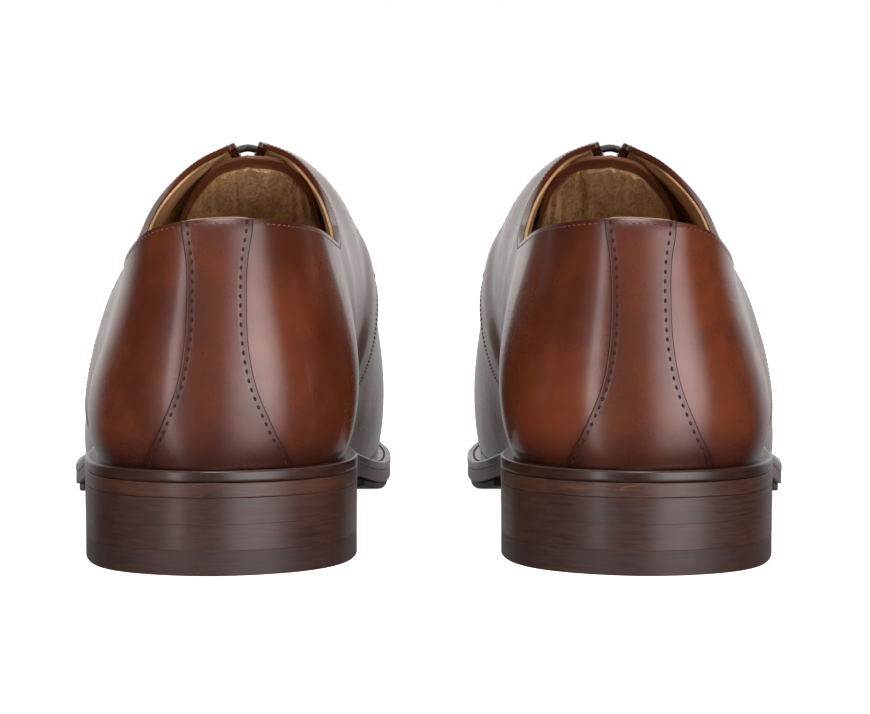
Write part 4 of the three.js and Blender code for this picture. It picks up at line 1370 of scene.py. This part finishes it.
@dataclass
class Linings:
    """The lining leather that shows inside the mouth and as a thin edge above the topline."""

    foot: Foot
    peep: float = 0.55
    tuck: float = 0.35
    corner_tuck: float = 2.4
    corner_rib: float = 6.7
    corner_ease: float = 0.8
    peep_rib: float = 0.8
    peep_ease: float = 0.35
    rim_faces: tuple[float, float] = (1.4, 2.25)
    taper: float = 8.0
    tuck_taper: float = 6.0
    seam: float = 4.3
    columns: tuple[int, int] = (90, 70)

    def build(self) -> None:
        """Makes the heel lining and both quarter linings."""
        prefix = self.foot.prefix
        joint = self.seam / THROAT_RIB
        self.panel(f"{prefix}_heel_lining", Flank.MEDIAL, -joint, joint)
        for flank in Flank:
            name = f"{prefix}_quarter_lining_{flank.word}"
            self.panel(name, flank, joint + 0.002, 1.0)

    def panel(self, node: str, flank: Flank, start: float, end: float) -> None:
        """One lining panel between two shares of the way from the heel to the throat."""
        columns = self.columns[0] if start < 0 else self.columns[1]
        corner = RIDGE_RIB / THROAT_RIB
        a = np.linspace(start, end, columns + 1)
        if end > corner:
            back = round(columns * (corner - start) / (end - start))
            a = np.concatenate([np.linspace(start, corner, back + 1)[:-1],
                                np.linspace(corner, end, columns - back + 1)])
        rib = a[:, None] * THROAT_RIB
        b = np.linspace(0, 1, 41)[None, :]
        if start < 0:
            r = rib + 0 * b
            top = np.ones_like(rib)
        else:
            share = (rib - self.seam) / (THROAT_RIB - self.seam)
            r = mix(self.seam, LAST.quarter_front(flank, b), share) * flank.value
            top = LAST.quarter_top(flank, rib)
        s = np.abs(r)
        v = mix(0.0, top, b)
        plain, _ = LAST.surface(r, v, 0.5)
        down = lengths(plain, 1)
        from_top = down[:, -1:] - down
        tuck = self.tuck + self.corner_tuck * smooth((s - self.corner_rib) / self.corner_ease)
        step = mix(-tuck, self.peep, smooth((self.peep_rib - s) / self.peep_ease))
        v = v + step / np.maximum(down[:, -1:], 1.0) * smooth(1 - from_top / self.tuck_taper)
        fill = smooth(1 - from_top / self.taper)
        outer, _ = LAST.surface(r, v, mix(1.0, self.rim_faces[1], fill))
        inner, _ = LAST.surface(r, v, mix(0.0, self.rim_faces[0], fill))
        skin = shell(outer, inner, {"rim": from_top, "foot": down})
        Bench.panel(node, skin, self.foot, "lining", 0.35, slot="lining")


@dataclass
class Tongue:
    """The tongue under the facings, with its wrinkled lining and rolled edge."""

    foot: Foot
    root: float = 11.7
    end: float = 7.62
    depth: float = 3.3
    drop: float = 4.2
    arch: float = 0.72
    leather: float = 1.2
    lining: float = 0.9
    bond: float = 0.1
    half_width: tuple[float, float] = (0.2, 0.42)
    inset: float = 0.05
    root_rib: float = 10.95
    root_ease: float = 0.4
    arch_rib: float = 9.2
    arch_side: float = 0.35
    arch_end: float = 0.55
    tip_round: float = 0.1
    wrinkle: float = 0.34
    wrinkles: tuple[tuple[float, float, float, float], ...] = (
        (1.0, 34.0, 3.2, 0.0), (0.8, 57.0, -4.1, 1.3), (0.6, 19.0, 6.0, 0.4),
        (0.4, 83.0, 9.0, 0.0),
    )

    def build(self) -> None:
        """Makes the leather and the lining of the tongue."""
        low = self.leather - self.bond
        high = low + self.lining + 2 * self.bond
        layers = [
            ("tongue", self.sheet(0.0, 0.0, self.leather, False), 0.5, "upper"),
            ("tongue_lining", self.sheet(self.inset, low, high, True), 0.4, "lining"),
        ]
        for piece, skin, rim, slot in layers:
            Bench.panel(f"{self.foot.prefix}_{piece}", skin, self.foot, piece, rim,
                        body=self.foot.tongue_body, slot=slot)

    def depth_at(self, s: Array, across: Array) -> Array:
        """How far the tongue lies under the last's surface: its end is arched."""
        root = smooth((s - self.root_rib) / self.root_ease)
        end = smooth((self.arch_rib - s) / (self.arch_rib - self.end))
        side = np.abs(across)
        flank = smooth(side / self.arch_side)
        border = 1 - smooth((side - self.arch_end) / (1 - self.arch_end))
        arch = 1 - self.arch * flank * border
        return mix(self.depth, LAST.clear, root) + self.drop * end * arch

    def grid(self, inset: float) -> tuple[Array, Array, Array, Array]:
        """Places over the tongue: across, along, r and v."""
        across = np.linspace(-1, 1, 81)[:, None]
        j = np.linspace(0, 1, 91)[None, :]
        along = j * (1 - self.tip_round * np.abs(across) ** 4 - inset)
        s = mix(self.root, self.end, along)
        width = mix(*self.half_width, smooth(1.5 * along))
        v = 1 - np.abs(across) * (1 - inset) * width
        flip = np.where(across < 0, -1.0, 1.0)
        return across + 0 * along, along, s * flip, v

    def sheet(self, inset: float, low: float, high: float, wrinkled: bool) -> Skin:
        """One layer of the tongue.

        Args:
            inset: how far inside the tongue's outline it ends, as a share of its size.
            low: depth of its outer face under the tongue's surface.
            high: depth of its inner face.
            wrinkled: whether its inner face has soft upright wrinkles.

        Returns:
            The layer as a closed wall.
        """
        across, along, r, v = self.grid(inset)
        depth = self.depth_at(np.abs(r), across)
        relief = 0 * along
        if wrinkled:
            fan = across * (1.25 - 0.3 * along)
            waves = sum(tall * np.sin(fan * rate + lean * along + start)
                        for tall, rate, lean, start in self.wrinkles)
            border = smooth((1 - np.abs(across)) / 0.2)
            relief = self.wrinkle * waves * smooth((along - 0.2) / 0.6) * border
        outer, _ = LAST.surface(r, v, -depth - low, True)
        inner, _ = LAST.surface(r, v, -depth - high - relief, True)
        walked_across, walked_along = lengths(inner, 0), lengths(inner, 1)
        rim = np.minimum(np.minimum(walked_across, walked_across[-1:] - walked_across),
                         walked_along[:, -1:] - walked_along)
        return shell(outer, inner, {"rim": rim, "foot": walked_along + 20.0})


@dataclass
class Lacing:
    """The round waxed lace, laced straight across with its ends tucked inside."""

    foot: Foot
    radius: float = 1.1
    pitch: float = 12.0
    first: float = 5.2
    edge: float = 8.0
    count: int = 5
    bend: float = 2.1
    over: float = 1.7
    under: float = 1.9
    bar_inset: float = 2.0
    bar_rise: float = 0.9
    tail_share: float = 0.22
    tail_drift: float = 0.04
    tail_steps: int = 5
    tip: float = 1.2
    tip_share: float = 0.55
    plait: float = 0.035
    plait_pitch: float = 1.1

    def ribs(self) -> Array:
        """The ribs of the eyelets, one pitch apart down the ridge."""
        s = np.arange(RIDGE_RIB, THROAT_RIB, 0.005)
        walked = lengths(LAST.point(s, np.ones_like(s)), 0)
        return np.interp(self.first + self.pitch * np.arange(self.count), walked, s)

    def eyelets(self, flank: Flank) -> Seam:
        """The middles of one side's eyelets on the last, and the ways through them."""
        s = self.ribs()
        v = LAST.facing_height(flank, s, self.edge)
        points, normals = LAST.surface(s * flank.value, v, 0.0)
        return Seam(points, normals)

    def surface_at(self, flank: Flank, index: int) -> float:
        """How far the quarter's face is outside the last at an eyelet."""
        s = self.ribs()[index]
        v = LAST.facing_height(flank, np.array(s), self.edge)
        return LAST.upper_outer + float(LAST.quarter_out(flank, np.array(s), v))

    def through(self, flank: Flank, index: int, towards: Array) -> list[Array]:
        """The lace's turn through an eyelet, from on top to the run underneath."""
        seam = self.eyelets(flank)
        point, normal = seam.points[index], seam.normals[index]

        def level(target: Array) -> Array:
            """The way to the target along the surface."""
            way = target - point
            way = way - normal * (way @ normal)
            return way / np.linalg.norm(way)

        ridge = LAST.point(np.array(self.ribs()[index]), np.array(1.0))
        across, away = level(ridge), level(towards)
        top = self.surface_at(flank, index) + self.over
        k = self.bend * (1 - math.sqrt(0.5))
        steps = [
            (self.bend, across, top), (k, across, top - k), (0, across, top - self.bend),
            (0, across, self.bend - self.under), (k, away, k - self.under),
            (self.bend, away, -self.under),
        ]
        return [point + way * reach + normal * depth for reach, way, depth in steps]

    def bar(self, index: int, start: Flank) -> list[Array]:
        """The bar over the ridge at one pair of eyelets."""
        s = self.ribs()[index]
        ends = []
        for flank in (start, Flank(-start.value)):
            v = LAST.facing_height(flank, np.array(s), self.bar_inset)
            out = self.surface_at(flank, index) + self.over
            ends.append(LAST.surface(s * flank.value, v, out)[0])
        normal = LAST.surface(np.array(s), np.array(1.0), 0.0)[1]
        return [ends[0], (ends[0] + ends[1]) / 2 + normal * self.bar_rise, ends[1]]

    def tail(self, flank: Flank, index: int) -> list[Array]:
        """An end of the lace inside the quarter, from its tip to the eyelet."""
        s = self.ribs()[index]
        v = float(LAST.facing_height(flank, np.array(s), self.edge))
        return [
            LAST.surface((s + self.tail_drift * i) * flank.value,
                         v - self.tail_share * i / self.tail_steps, -self.under)[0]
            for i in range(self.tail_steps, 0, -1)
        ]

    def route(self) -> Array:
        """The lace's middle line from tip to tip."""
        medial, lateral = Flank.MEDIAL, Flank.LATERAL
        crossings = [(lateral, 1), (medial, 3), (lateral, 4), (medial, 2), (lateral, 0)]
        other = {medial: lateral, lateral: medial}
        eyes = {flank: self.eyelets(flank).points for flank in Flank}
        first, last = crossings[0], crossings[-1]
        start, end = self.tail(*first), self.tail(other[last[0]], last[1])
        points = list(start)
        for i, (flank, index) in enumerate(crossings):
            before = eyes[flank][crossings[i - 1][1]] if i else start[-1]
            far = other[flank]
            after = eyes[far][crossings[i + 1][1]] if i + 1 < len(crossings) else end[-1]
            points += self.through(flank, index, before)[::-1]
            points += self.bar(index, flank)
            points += self.through(far, index, after)
        return np.array(points + end[::-1])

    def build(self) -> None:
        """Makes the lace."""
        knots = self.route()
        t = np.linspace(0, len(knots) - 1, 8 * (len(knots) - 1) + 1)
        path = spline(knots, t)
        walked = lengths(path, 0)
        from_tip = np.minimum(walked, walked[-1] - walked)
        radius = self.radius * mix(self.tip_share, 1.0, smooth(from_tip / self.tip))
        ripple = 1 + self.plait * np.sin(walked * 2 * np.pi / self.plait_pitch)
        skin = tube(path, radius * ripple, 14)
        obj = Bench.mesh(f"{self.foot.prefix}_lace_cord", skin, self.foot)
        LOG.info("%s lace: %.0f mm long", self.foot.prefix, walked[-1])
        Bench.dress(obj, Wardrobe.get("lace"), self.foot.shoe_body, "lace",
                    f"{self.foot.prefix}_lace")


# --------------------------------------------------------------------------- the sole unit
@dataclass
class SoleUnit:
    """The welt, the outsole, the rubber half sole and the stacked heel."""

    foot: Foot
    welt_width: float = 10.0
    half_sole: float = 2.0
    half_sole_rib: float = 7.7
    top_lift: float = 5.9
    lift: float = 6.1
    breast_rib: float = 4.62
    hollow: float = 4.0
    stations: int = 360
    outsole_inset: float = 0.1
    outsole_gap: float = 0.08
    half_sole_inset: float = 1.2
    half_sole_gap: float = 0.02
    lift_gap: float = 0.01

    def build(self) -> None:
        """Makes every piece of the sole unit."""
        self.welt()
        self.outsole()
        self.rubber_half_sole()
        self.heel()

    def finish(self, piece: str, skin: Skin, finish: str, slot: str) -> None:
        """Makes one piece of the sole from its mesh."""
        name = f"{self.foot.prefix}_{piece}"
        obj = Bench.mesh(f"{name}_body", skin, self.foot, weld=True)
        Bench.dress(obj, Wardrobe.get(finish), self.foot.shoe_body, slot, name)

    def welt(self) -> None:
        """The welt: a band with a rounded outer edge and a raised inner wall."""
        r = round_ribs(self.stations)
        height = LAST.welt
        profile = [(self.welt_width, 0.0), (0.45, 0.0), (0.12, 0.12), (0.0, 0.5)]
        profile += [(0.0, height * k) for k in (0.35, 0.55, 0.7)]
        profile += [(0.0, height - 0.6), (0.1, height - 0.25), (0.32, height - 0.06),
                    (0.65, height), (1.6, height - 0.04), (2.4, height - 0.1), (3.2, height),
                    (4.6, height), (self.welt_width, height)]
        rings = []
        for inset, z in profile:
            flat, _ = LAST.edge(r, inset)
            low = LAST.welt_top(flat[:, 1]) - height
            rings.append(np.column_stack([flat, low + z]))
        self.finish("welt", band(np.stack(rings, 1)), "welt", "welt")

    def outsole(self) -> None:
        """The leather outsole, filling up to the welt."""
        loop, _ = LAST.edge(round_ribs(self.stations), self.outsole_inset)
        profile = rounded_edge(LAST.outsole + LAST.clear - self.outsole_gap, 0.3, 4)
        self.finish("outsole", slab(loop, profile, LAST.sole_bottom), "outsole", "outsole")

    def rubber_half_sole(self) -> None:
        """The rubber guard under the forepart."""
        s = np.linspace(self.half_sole_rib, TOE_RIB, 100)
        halves = [LAST.edge(s * flank.value, self.half_sole_inset)[0] for flank in Flank]
        middle = (halves[0][0] + halves[1][0]) / 2
        sides = []
        for half in halves:
            back = [mix(middle, half[0], t) for t in np.linspace(0, 1, 12)[:-1]]
            sides.append(np.concatenate([back, half]))
        sides[1][-1] = sides[0][-1]
        drop = self.half_sole + LAST.clear
        profile = rounded_edge(drop - self.half_sole_gap, 0.5, 2, 4.0)
        skin = slab(outline(*sides), profile, lambda y: LAST.sole_bottom(y) - drop)
        self.finish("half_sole", skin, "rubber", "sole_rubber")

    def heel_loop(self, inset: float) -> Array:
        """The outline of the heel, with its hollow breast."""
        halves, corners = [], []
        for flank in Flank:
            s = np.linspace(0, self.breast_rib, 70)
            edge, _ = LAST.edge(s * flank.value, inset)
            edge[:, 1] = np.minimum(edge[:, 1], LAST.breast)
            halves.append(edge)
            corners.append(edge[-1])
        control = np.array([0.0, LAST.breast - 2 * self.hollow])
        t = np.linspace(0, 0.5, 16)[1:, None]
        sides = []
        for half, start, end in zip(halves, corners, corners[::-1]):
            w = 1 - t
            sides.append(np.concatenate([half, w * w * start + 2 * w * t * control + t * t * end]))
        sides[1][0], sides[1][-1] = sides[0][0], sides[0][-1]
        return outline(*sides)

    def heel(self) -> None:
        """The top lift and the two built lifts above it."""
        lower = self.top_lift + LAST.clear
        upper = lower + self.lift + LAST.clear
        levels = [
            ("top_lift", 0.0, self.top_lift, 0.2, 0.08, "top_lift", "top_lift"),
            ("heel_lift_lower", lower, self.lift, 0.17, 0.03, "heel", "heel_stack"),
            ("heel_lift_upper", upper, self.lift, 0.14, 0.03, "heel", "heel_stack"),
        ]
        fill = LAST.clear - self.lift_gap
        for piece, low, thick, inset, radius, finish, slot in levels:
            profile = rounded_edge(thick + fill, radius, 5)
            skin = slab(self.heel_loop(inset), profile, lambda y, z=low: z + 0 * y)
            self.finish(piece, skin, finish, slot)


# --------------------------------------------------------------------------- seams
@dataclass
class Sewing:
    """Every row of stitches on one shoe."""

    foot: Foot
    tree: StitchTree
    strip: Stitch = Stitch(2.3, (0.66, 0.26, 0.15), 8.0, finish="dark_thread")
    strip_hole: tuple[float, float, float] = (0.62, 0.36, 0.14)
    edge: Stitch = Stitch(1.6, (0.52, 0.19, 0.14), 6.0)
    edge_hole: tuple[float, float, float] = (0.28, 0.2, 0.07)
    welt: Stitch = Stitch(3.0, (1.15, 0.36, 0.3), 4.0)
    tack: Stitch = Stitch(0.62, (0.28, 1.3, 0.3))
    step: float = 0.1
    strip_inset: float = 1.35
    strip_span: tuple[float, float] = (0.012, 0.985)
    foot_lift: float = 0.15
    foot_ease: float = 0.25
    top_inset: float = 1.15
    top_span: tuple[float, float] = (0.62, 7.1)
    strip_top: float = 0.34
    strip_top_drop: float = 0.2
    strip_top_sink: float = 0.08
    facing_inset: float = 1.6
    facing_span: tuple[float, float] = (7.12, 0.28)
    facing_ease: float = 0.9
    front_insets: tuple[float, float] = (1.4, 2.9)
    front_span: tuple[float, float] = (0.02, 0.97)
    tack_inset: float = 4.4
    tack_span: tuple[float, float] = (0.5, 0.545)
    welt_start: float = 5.1
    welt_inset: float = 2.2
    welt_sink: float = 0.06

    def build(self) -> None:
        """Sews the upper and the welt."""
        strip = self.strip_rows()
        edges = [*self.topline(), *self.facings(), *self.fronts()]
        self.row("strip_thread", strip, self.strip)
        # painted shade: dark marks in the needle holes between the stitches
        self.row("strip_holes", strip, self.strip.hole(self.strip_hole))
        self.row("edge_thread", edges, self.edge)
        self.row("edge_holes", edges, self.edge.hole(self.edge_hole))
        self.row("welt_thread", [self.welt_row()], self.welt, "welt")
        self.row("bar_tacks", self.tacks(), self.tack)

    def row(self, name: str, seams: Sequence[Seam], stitch: Stitch, slot: str = "upper") -> None:
        """Sets one kind of stitch, or painted needle-hole shade, along seams."""
        obj = self.tree.sew(f"{self.foot.prefix}_{name}", seams, self.foot, stitch)
        Bench.dress(obj, Wardrobe.get(stitch.finish), self.foot.shoe_body, slot)

    def strip_rows(self) -> list[Seam]:
        """The two rows down the back strip."""
        upper = Upper(self.foot)
        face = upper.strip_low + upper.strip_thick
        v = np.linspace(*self.strip_span, 120)
        rows = []
        for flank in Flank:
            half = upper.strip_half(v)
            edge = LAST.surface(half * flank.value, v, 0.0)[0]
            inner = LAST.surface((half - self.step) * flank.value, v, 0.0)[0]
            scale = self.step / np.linalg.norm(edge - inner, axis=-1)
            r = (half - self.strip_inset * scale) * flank.value
            lift = self.foot_lift * (1 - smooth(v / self.foot_ease))
            rows.append(Seam(*LAST.surface(r, v, face + lift)))
        return rows

    def below_top(self, r: Array, drop: float) -> Array:
        """The height v that lies a distance under the topline."""
        rung = 0.01
        high, low = LAST.point(r, np.ones_like(r)), LAST.point(r, np.full_like(r, 1 - rung))
        return 1 - drop * rung / np.linalg.norm(high - low, axis=-1)

    def topline(self) -> list[Seam]:
        """The row under the topline, on both sides of the back strip."""
        rows = []
        for flank in Flank:
            r = np.linspace(*self.top_span, 160) * flank.value
            v = self.below_top(r, self.top_inset)
            rows.append(Seam(*LAST.surface(r, v, LAST.upper_outer)))
        r = np.linspace(-self.strip_top, self.strip_top, 24)
        upper = Upper(self.foot)
        face = upper.strip_low + upper.strip_thick - self.strip_top_sink
        v = self.below_top(r, self.top_inset + self.strip_top_drop)
        rows.append(Seam(*LAST.surface(r, v, face)))
        return rows

    def facings(self) -> list[Seam]:
        """The row beside each facing, from the topline's corner to the throat."""
        rows = []
        for flank in Flank:
            start, short = self.facing_span
            s = np.linspace(start, THROAT_RIB - short, 130)
            ahead = LAST.facing_height(flank, np.maximum(s, RIDGE_RIB), self.facing_inset)
            behind = self.below_top(s * flank.value, self.top_inset)
            near = smooth((s - self.top_span[1]) / self.facing_ease)
            v = mix(behind, ahead, near) - LAST.corner_dip(s)
            lifted = LAST.quarter_out(flank, s, v)
            rows.append(Seam(*LAST.surface(s * flank.value, v, LAST.upper_outer + lifted)))
        return rows

    def front_row(self, flank: Flank, inset: float, low: float, high: float) -> Seam:
        """A row beside a quarter's front edge, between two shares of its height."""
        b = np.linspace(low, high, 140)
        edge_s = LAST.quarter_front(flank, b)
        v = b * LAST.quarter_top(flank, np.array(THROAT_RIB))
        at = LAST.point(edge_s * flank.value, v)
        near = LAST.point((edge_s - self.step) * flank.value, v)
        s = edge_s - inset * self.step / np.linalg.norm(at - near, axis=-1)
        out = LAST.upper_outer + LAST.quarter_out(flank, s, v)
        return Seam(*LAST.surface(s * flank.value, v, out))

    def fronts(self) -> list[Seam]:
        """Two rows beside each quarter's front edge."""
        return [self.front_row(flank, inset, *self.front_span)
                for flank in Flank for inset in self.front_insets]

    def tacks(self) -> list[Seam]:
        """The bar tack on each quarter's front seam."""
        return [self.front_row(flank, self.tack_inset, *self.tack_span) for flank in Flank]

    def welt_row(self) -> Seam:
        """The row on top of the welt, round the forepart."""
        r = np.linspace(self.welt_start, ROUND - self.welt_start, 520)
        flat, _ = LAST.edge(r, self.welt_inset)
        points = np.column_stack([flat, LAST.welt_top(flat[:, 1]) - self.welt_sink])
        return Seam(points, np.tile([0.0, 0.0, 1.0], (len(r), 1)))


# --------------------------------------------------------------------------- inner pieces
KEPT = {
    "vamp_lining": "lining", "toe_puff": "stiffener", "heel_counter": "stiffener",
    "facing_stay_medial": "stiffener", "facing_stay_lateral": "stiffener",
    "cork_filler": "cork", "shank": "steel", "insole": "board", "heel_sock": "lining",
    "heel_pin_1": "pin", "heel_pin_2": "pin", "heel_pin_3": "pin",
}


def dress_kept_nodes(foot: Foot) -> None:
    """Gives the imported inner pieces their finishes."""
    for piece, finish in KEPT.items():
        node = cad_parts[f"{foot.prefix}_{piece}"]
        node.data.materials.clear()
        node.data.materials.append(Wardrobe.get(finish))
        LOG.info("%s keeps its packed mesh", node.name)


# --------------------------------------------------------------------------- the studio
@dataclass(frozen=True)
class Softbox:
    """A soft upright light that fades towards its edges, placed round the heels."""

    name: str
    bearing: float
    reach: float
    level: float
    size: tuple[float, float]
    power: float
    fade: float

    tint: ClassVar[tuple[float, float, float]] = (1.0, 0.95, 0.98)
    middle: ClassVar[tuple[float, float, float]] = (0.0, -0.12, 0.06)
    highest_aim: ClassVar[float] = 0.15

    def build(self) -> None:
        """Hangs the light and turns it towards the heels."""
        data = bpy.data.lights.new(self.name, "AREA")
        data.shape = "RECTANGLE"
        data.size, data.size_y = self.size
        data.energy = self.power
        data.color = self.tint
        data.use_nodes = True
        pen = Pen(data.node_tree)
        glow = next(n for n in data.node_tree.nodes if n.type == "EMISSION")
        where = pen.node("ShaderNodeNewGeometry").outputs["Parametric"]
        split = pen.node("ShaderNodeSeparateXYZ", {"Vector": where})
        strength = pen.times(*[self.faded(pen, split.outputs[k]) for k in "XY"])
        pen.tree.links.new(strength, glow.inputs["Strength"])
        obj = put(self.name, data)
        turn = math.radians(self.bearing)
        away = Vector((math.sin(turn), -math.cos(turn), 0.0)) * self.reach
        aim = Vector(self.middle)
        obj.location = aim + away + Vector((0.0, 0.0, self.level - aim.z))
        way = Vector((aim.x, aim.y, min(self.level, self.highest_aim))) - obj.location
        obj.rotation_euler = way.to_track_quat("-Z", "Y").to_euler()

    def faded(self, pen: Pen, place: object) -> object:
        """The brightness across the light, from one edge to the other."""
        centred = pen.math("ABSOLUTE", pen.minus(place, 0.5))
        return pen.ramp(centred, 0.5 - self.fade, 0.5, 1.0, 0.0)


SOFTBOXES = (
    Softbox("left strip", -34.0, 1.3, 0.15, (0.32, 2.1), 12.0, 0.45),
    Softbox("right softbox", 31.0, 1.5, 0.15, (1.6, 2.1), 52.0, 0.45),
    Softbox("high softbox", 0.0, 1.1, 1.25, (0.9, 0.6), 20.0, 0.3),
)


@dataclass(frozen=True)
class Studio:
    """A pale floor, soft lights, a white surround and the camera."""

    distance: float = 0.52
    height: float = 0.0815
    lens: float = 89.3
    pitch: float = 3.1
    yaw: float = -0.16
    floor_half: float = 6.0
    floor_tones: tuple[float, float] = (0.88, 0.92)
    floor_glow: float = 0.97
    top_size: float = 1.8
    top_power: float = 22.0
    top_place: tuple[float, float, float] = (0.0, 0.3, 1.6)
    behind: float = 0.03
    ahead: float = 0.85
    ahead_span: tuple[float, float] = (0.4, 0.97)
    below: float = 0.3
    below_span: tuple[float, float] = (-0.2, 0.08)

    def build(self) -> None:
        """Sets up the whole studio."""
        bpy.context.scene.view_settings.view_transform = "Standard"
        self.camera()
        self.floor()
        self.world()
        self.top_light()
        for light in SOFTBOXES:
            light.build()

    def top_light(self) -> None:
        """Hangs the large soft light over the pair."""
        data = bpy.data.lights.new("top", "AREA")
        data.shape = "SQUARE"
        data.size = self.top_size
        data.energy = self.top_power
        put("top", data).location = self.top_place

    def camera(self) -> None:
        """Stands the camera behind the heels."""
        data = bpy.data.cameras.new("camera")
        data.lens = self.lens
        data.sensor_width = 36.0
        data.clip_start, data.clip_end = 0.02, 50.0
        obj = put("camera", data)
        heel_back = CAD_BOX[0][1]
        obj.location = (0.0, heel_back - self.distance, self.height)
        obj.rotation_euler = (math.radians(90 - self.pitch), 0.0, math.radians(self.yaw))
        bpy.context.scene.camera = obj

    def floor(self) -> None:
        """Lays the pale floor."""
        h = self.floor_half
        data = bpy.data.meshes.new("floor")
        data.from_pydata([(-h, -h, 0), (h, -h, 0), (h, h, 0), (-h, h, 0)], [], [(0, 1, 2, 3)])
        obj = put("floor", data)
        material = bpy.data.materials.new("Pale floor")
        material.use_nodes = True
        tree = material.node_tree
        tree.nodes.clear()
        pen = Pen(tree)
        where = pen.node("ShaderNodeTexCoord").outputs["Object"]
        tone = pen.ramp(pen.noise(where, 3.0, 2.0), 0.0, 1.0)
        color = pen.blend(tone, *[(grey, grey, grey, 1.0) for grey in self.floor_tones])
        matt = pen.node("ShaderNodeBsdfDiffuse", {"Color": color})
        glow = pen.node("ShaderNodeEmission", {"Color": (1, 1, 1, 1), "Strength": self.floor_glow})
        pale = pen.node("ShaderNodeAddShader", {0: matt.outputs[0], 1: glow.outputs[0]})
        ray = pen.node("ShaderNodeLightPath").outputs
        seen = pen.node("ShaderNodeMixShader", {
            0: ray["Is Camera Ray"], 1: matt.outputs[0], 2: pale.outputs[0],
        })
        clear = pen.node("ShaderNodeBsdfTransparent")
        passing = pen.math("MAXIMUM", ray["Is Glossy Ray"], ray["Is Shadow Ray"])
        both = pen.node("ShaderNodeMixShader", {
            0: passing, 1: seen.outputs[0], 2: clear.outputs[0],
        })
        pen.node("ShaderNodeOutputMaterial", {"Surface": both.outputs[0]})
        data.materials.append(material)

    def world(self) -> None:
        """A surround that lights the pair from ahead of the toes and looks white itself."""
        world = bpy.data.worlds.new("surround")
        bpy.context.scene.world = world
        world.use_nodes = True
        tree = world.node_tree
        tree.nodes.clear()
        pen = Pen(tree)
        way = pen.node("ShaderNodeTexCoord").outputs["Generated"]
        split = pen.node("ShaderNodeSeparateXYZ", {"Vector": way})
        ahead = pen.ramp(split.outputs["Y"], *self.ahead_span, self.behind, self.ahead)
        floor = pen.ramp(split.outputs["Z"], *self.below_span, self.below, 1.0)
        seen = pen.node("ShaderNodeLightPath").outputs["Is Camera Ray"]
        lit = pen.node("ShaderNodeBackground", {"Color": (1, 1, 1, 1), "Strength": pen.times(ahead, floor)})
        white = pen.node("ShaderNodeBackground", {"Color": (1, 1, 1, 1), "Strength": 1.0})
        both = pen.node("ShaderNodeMixShader", {
            0: seen, 1: lit.outputs["Background"], 2: white.outputs["Background"],
        })
        pen.node("ShaderNodeOutputWorld", {"Surface": both.outputs["Shader"]})


def main() -> None:
    """Builds the studio and both shoes, and writes how big the result is."""
    logging.basicConfig(level=logging.INFO, format="%(name)s: %(message)s")
    Studio().build()
    Groups.build()
    tree = StitchTree()
    for foot in Foot:
        Upper(foot).build()
        Linings(foot).build()
        Tongue(foot).build()
        Lacing(foot).build()
        SoleUnit(foot).build()
        Sewing(foot, tree).build()
        dress_kept_nodes(foot)
    LOG.info("%d pieces made", len(Bench.made))


if __name__ == "__main__":
    main()
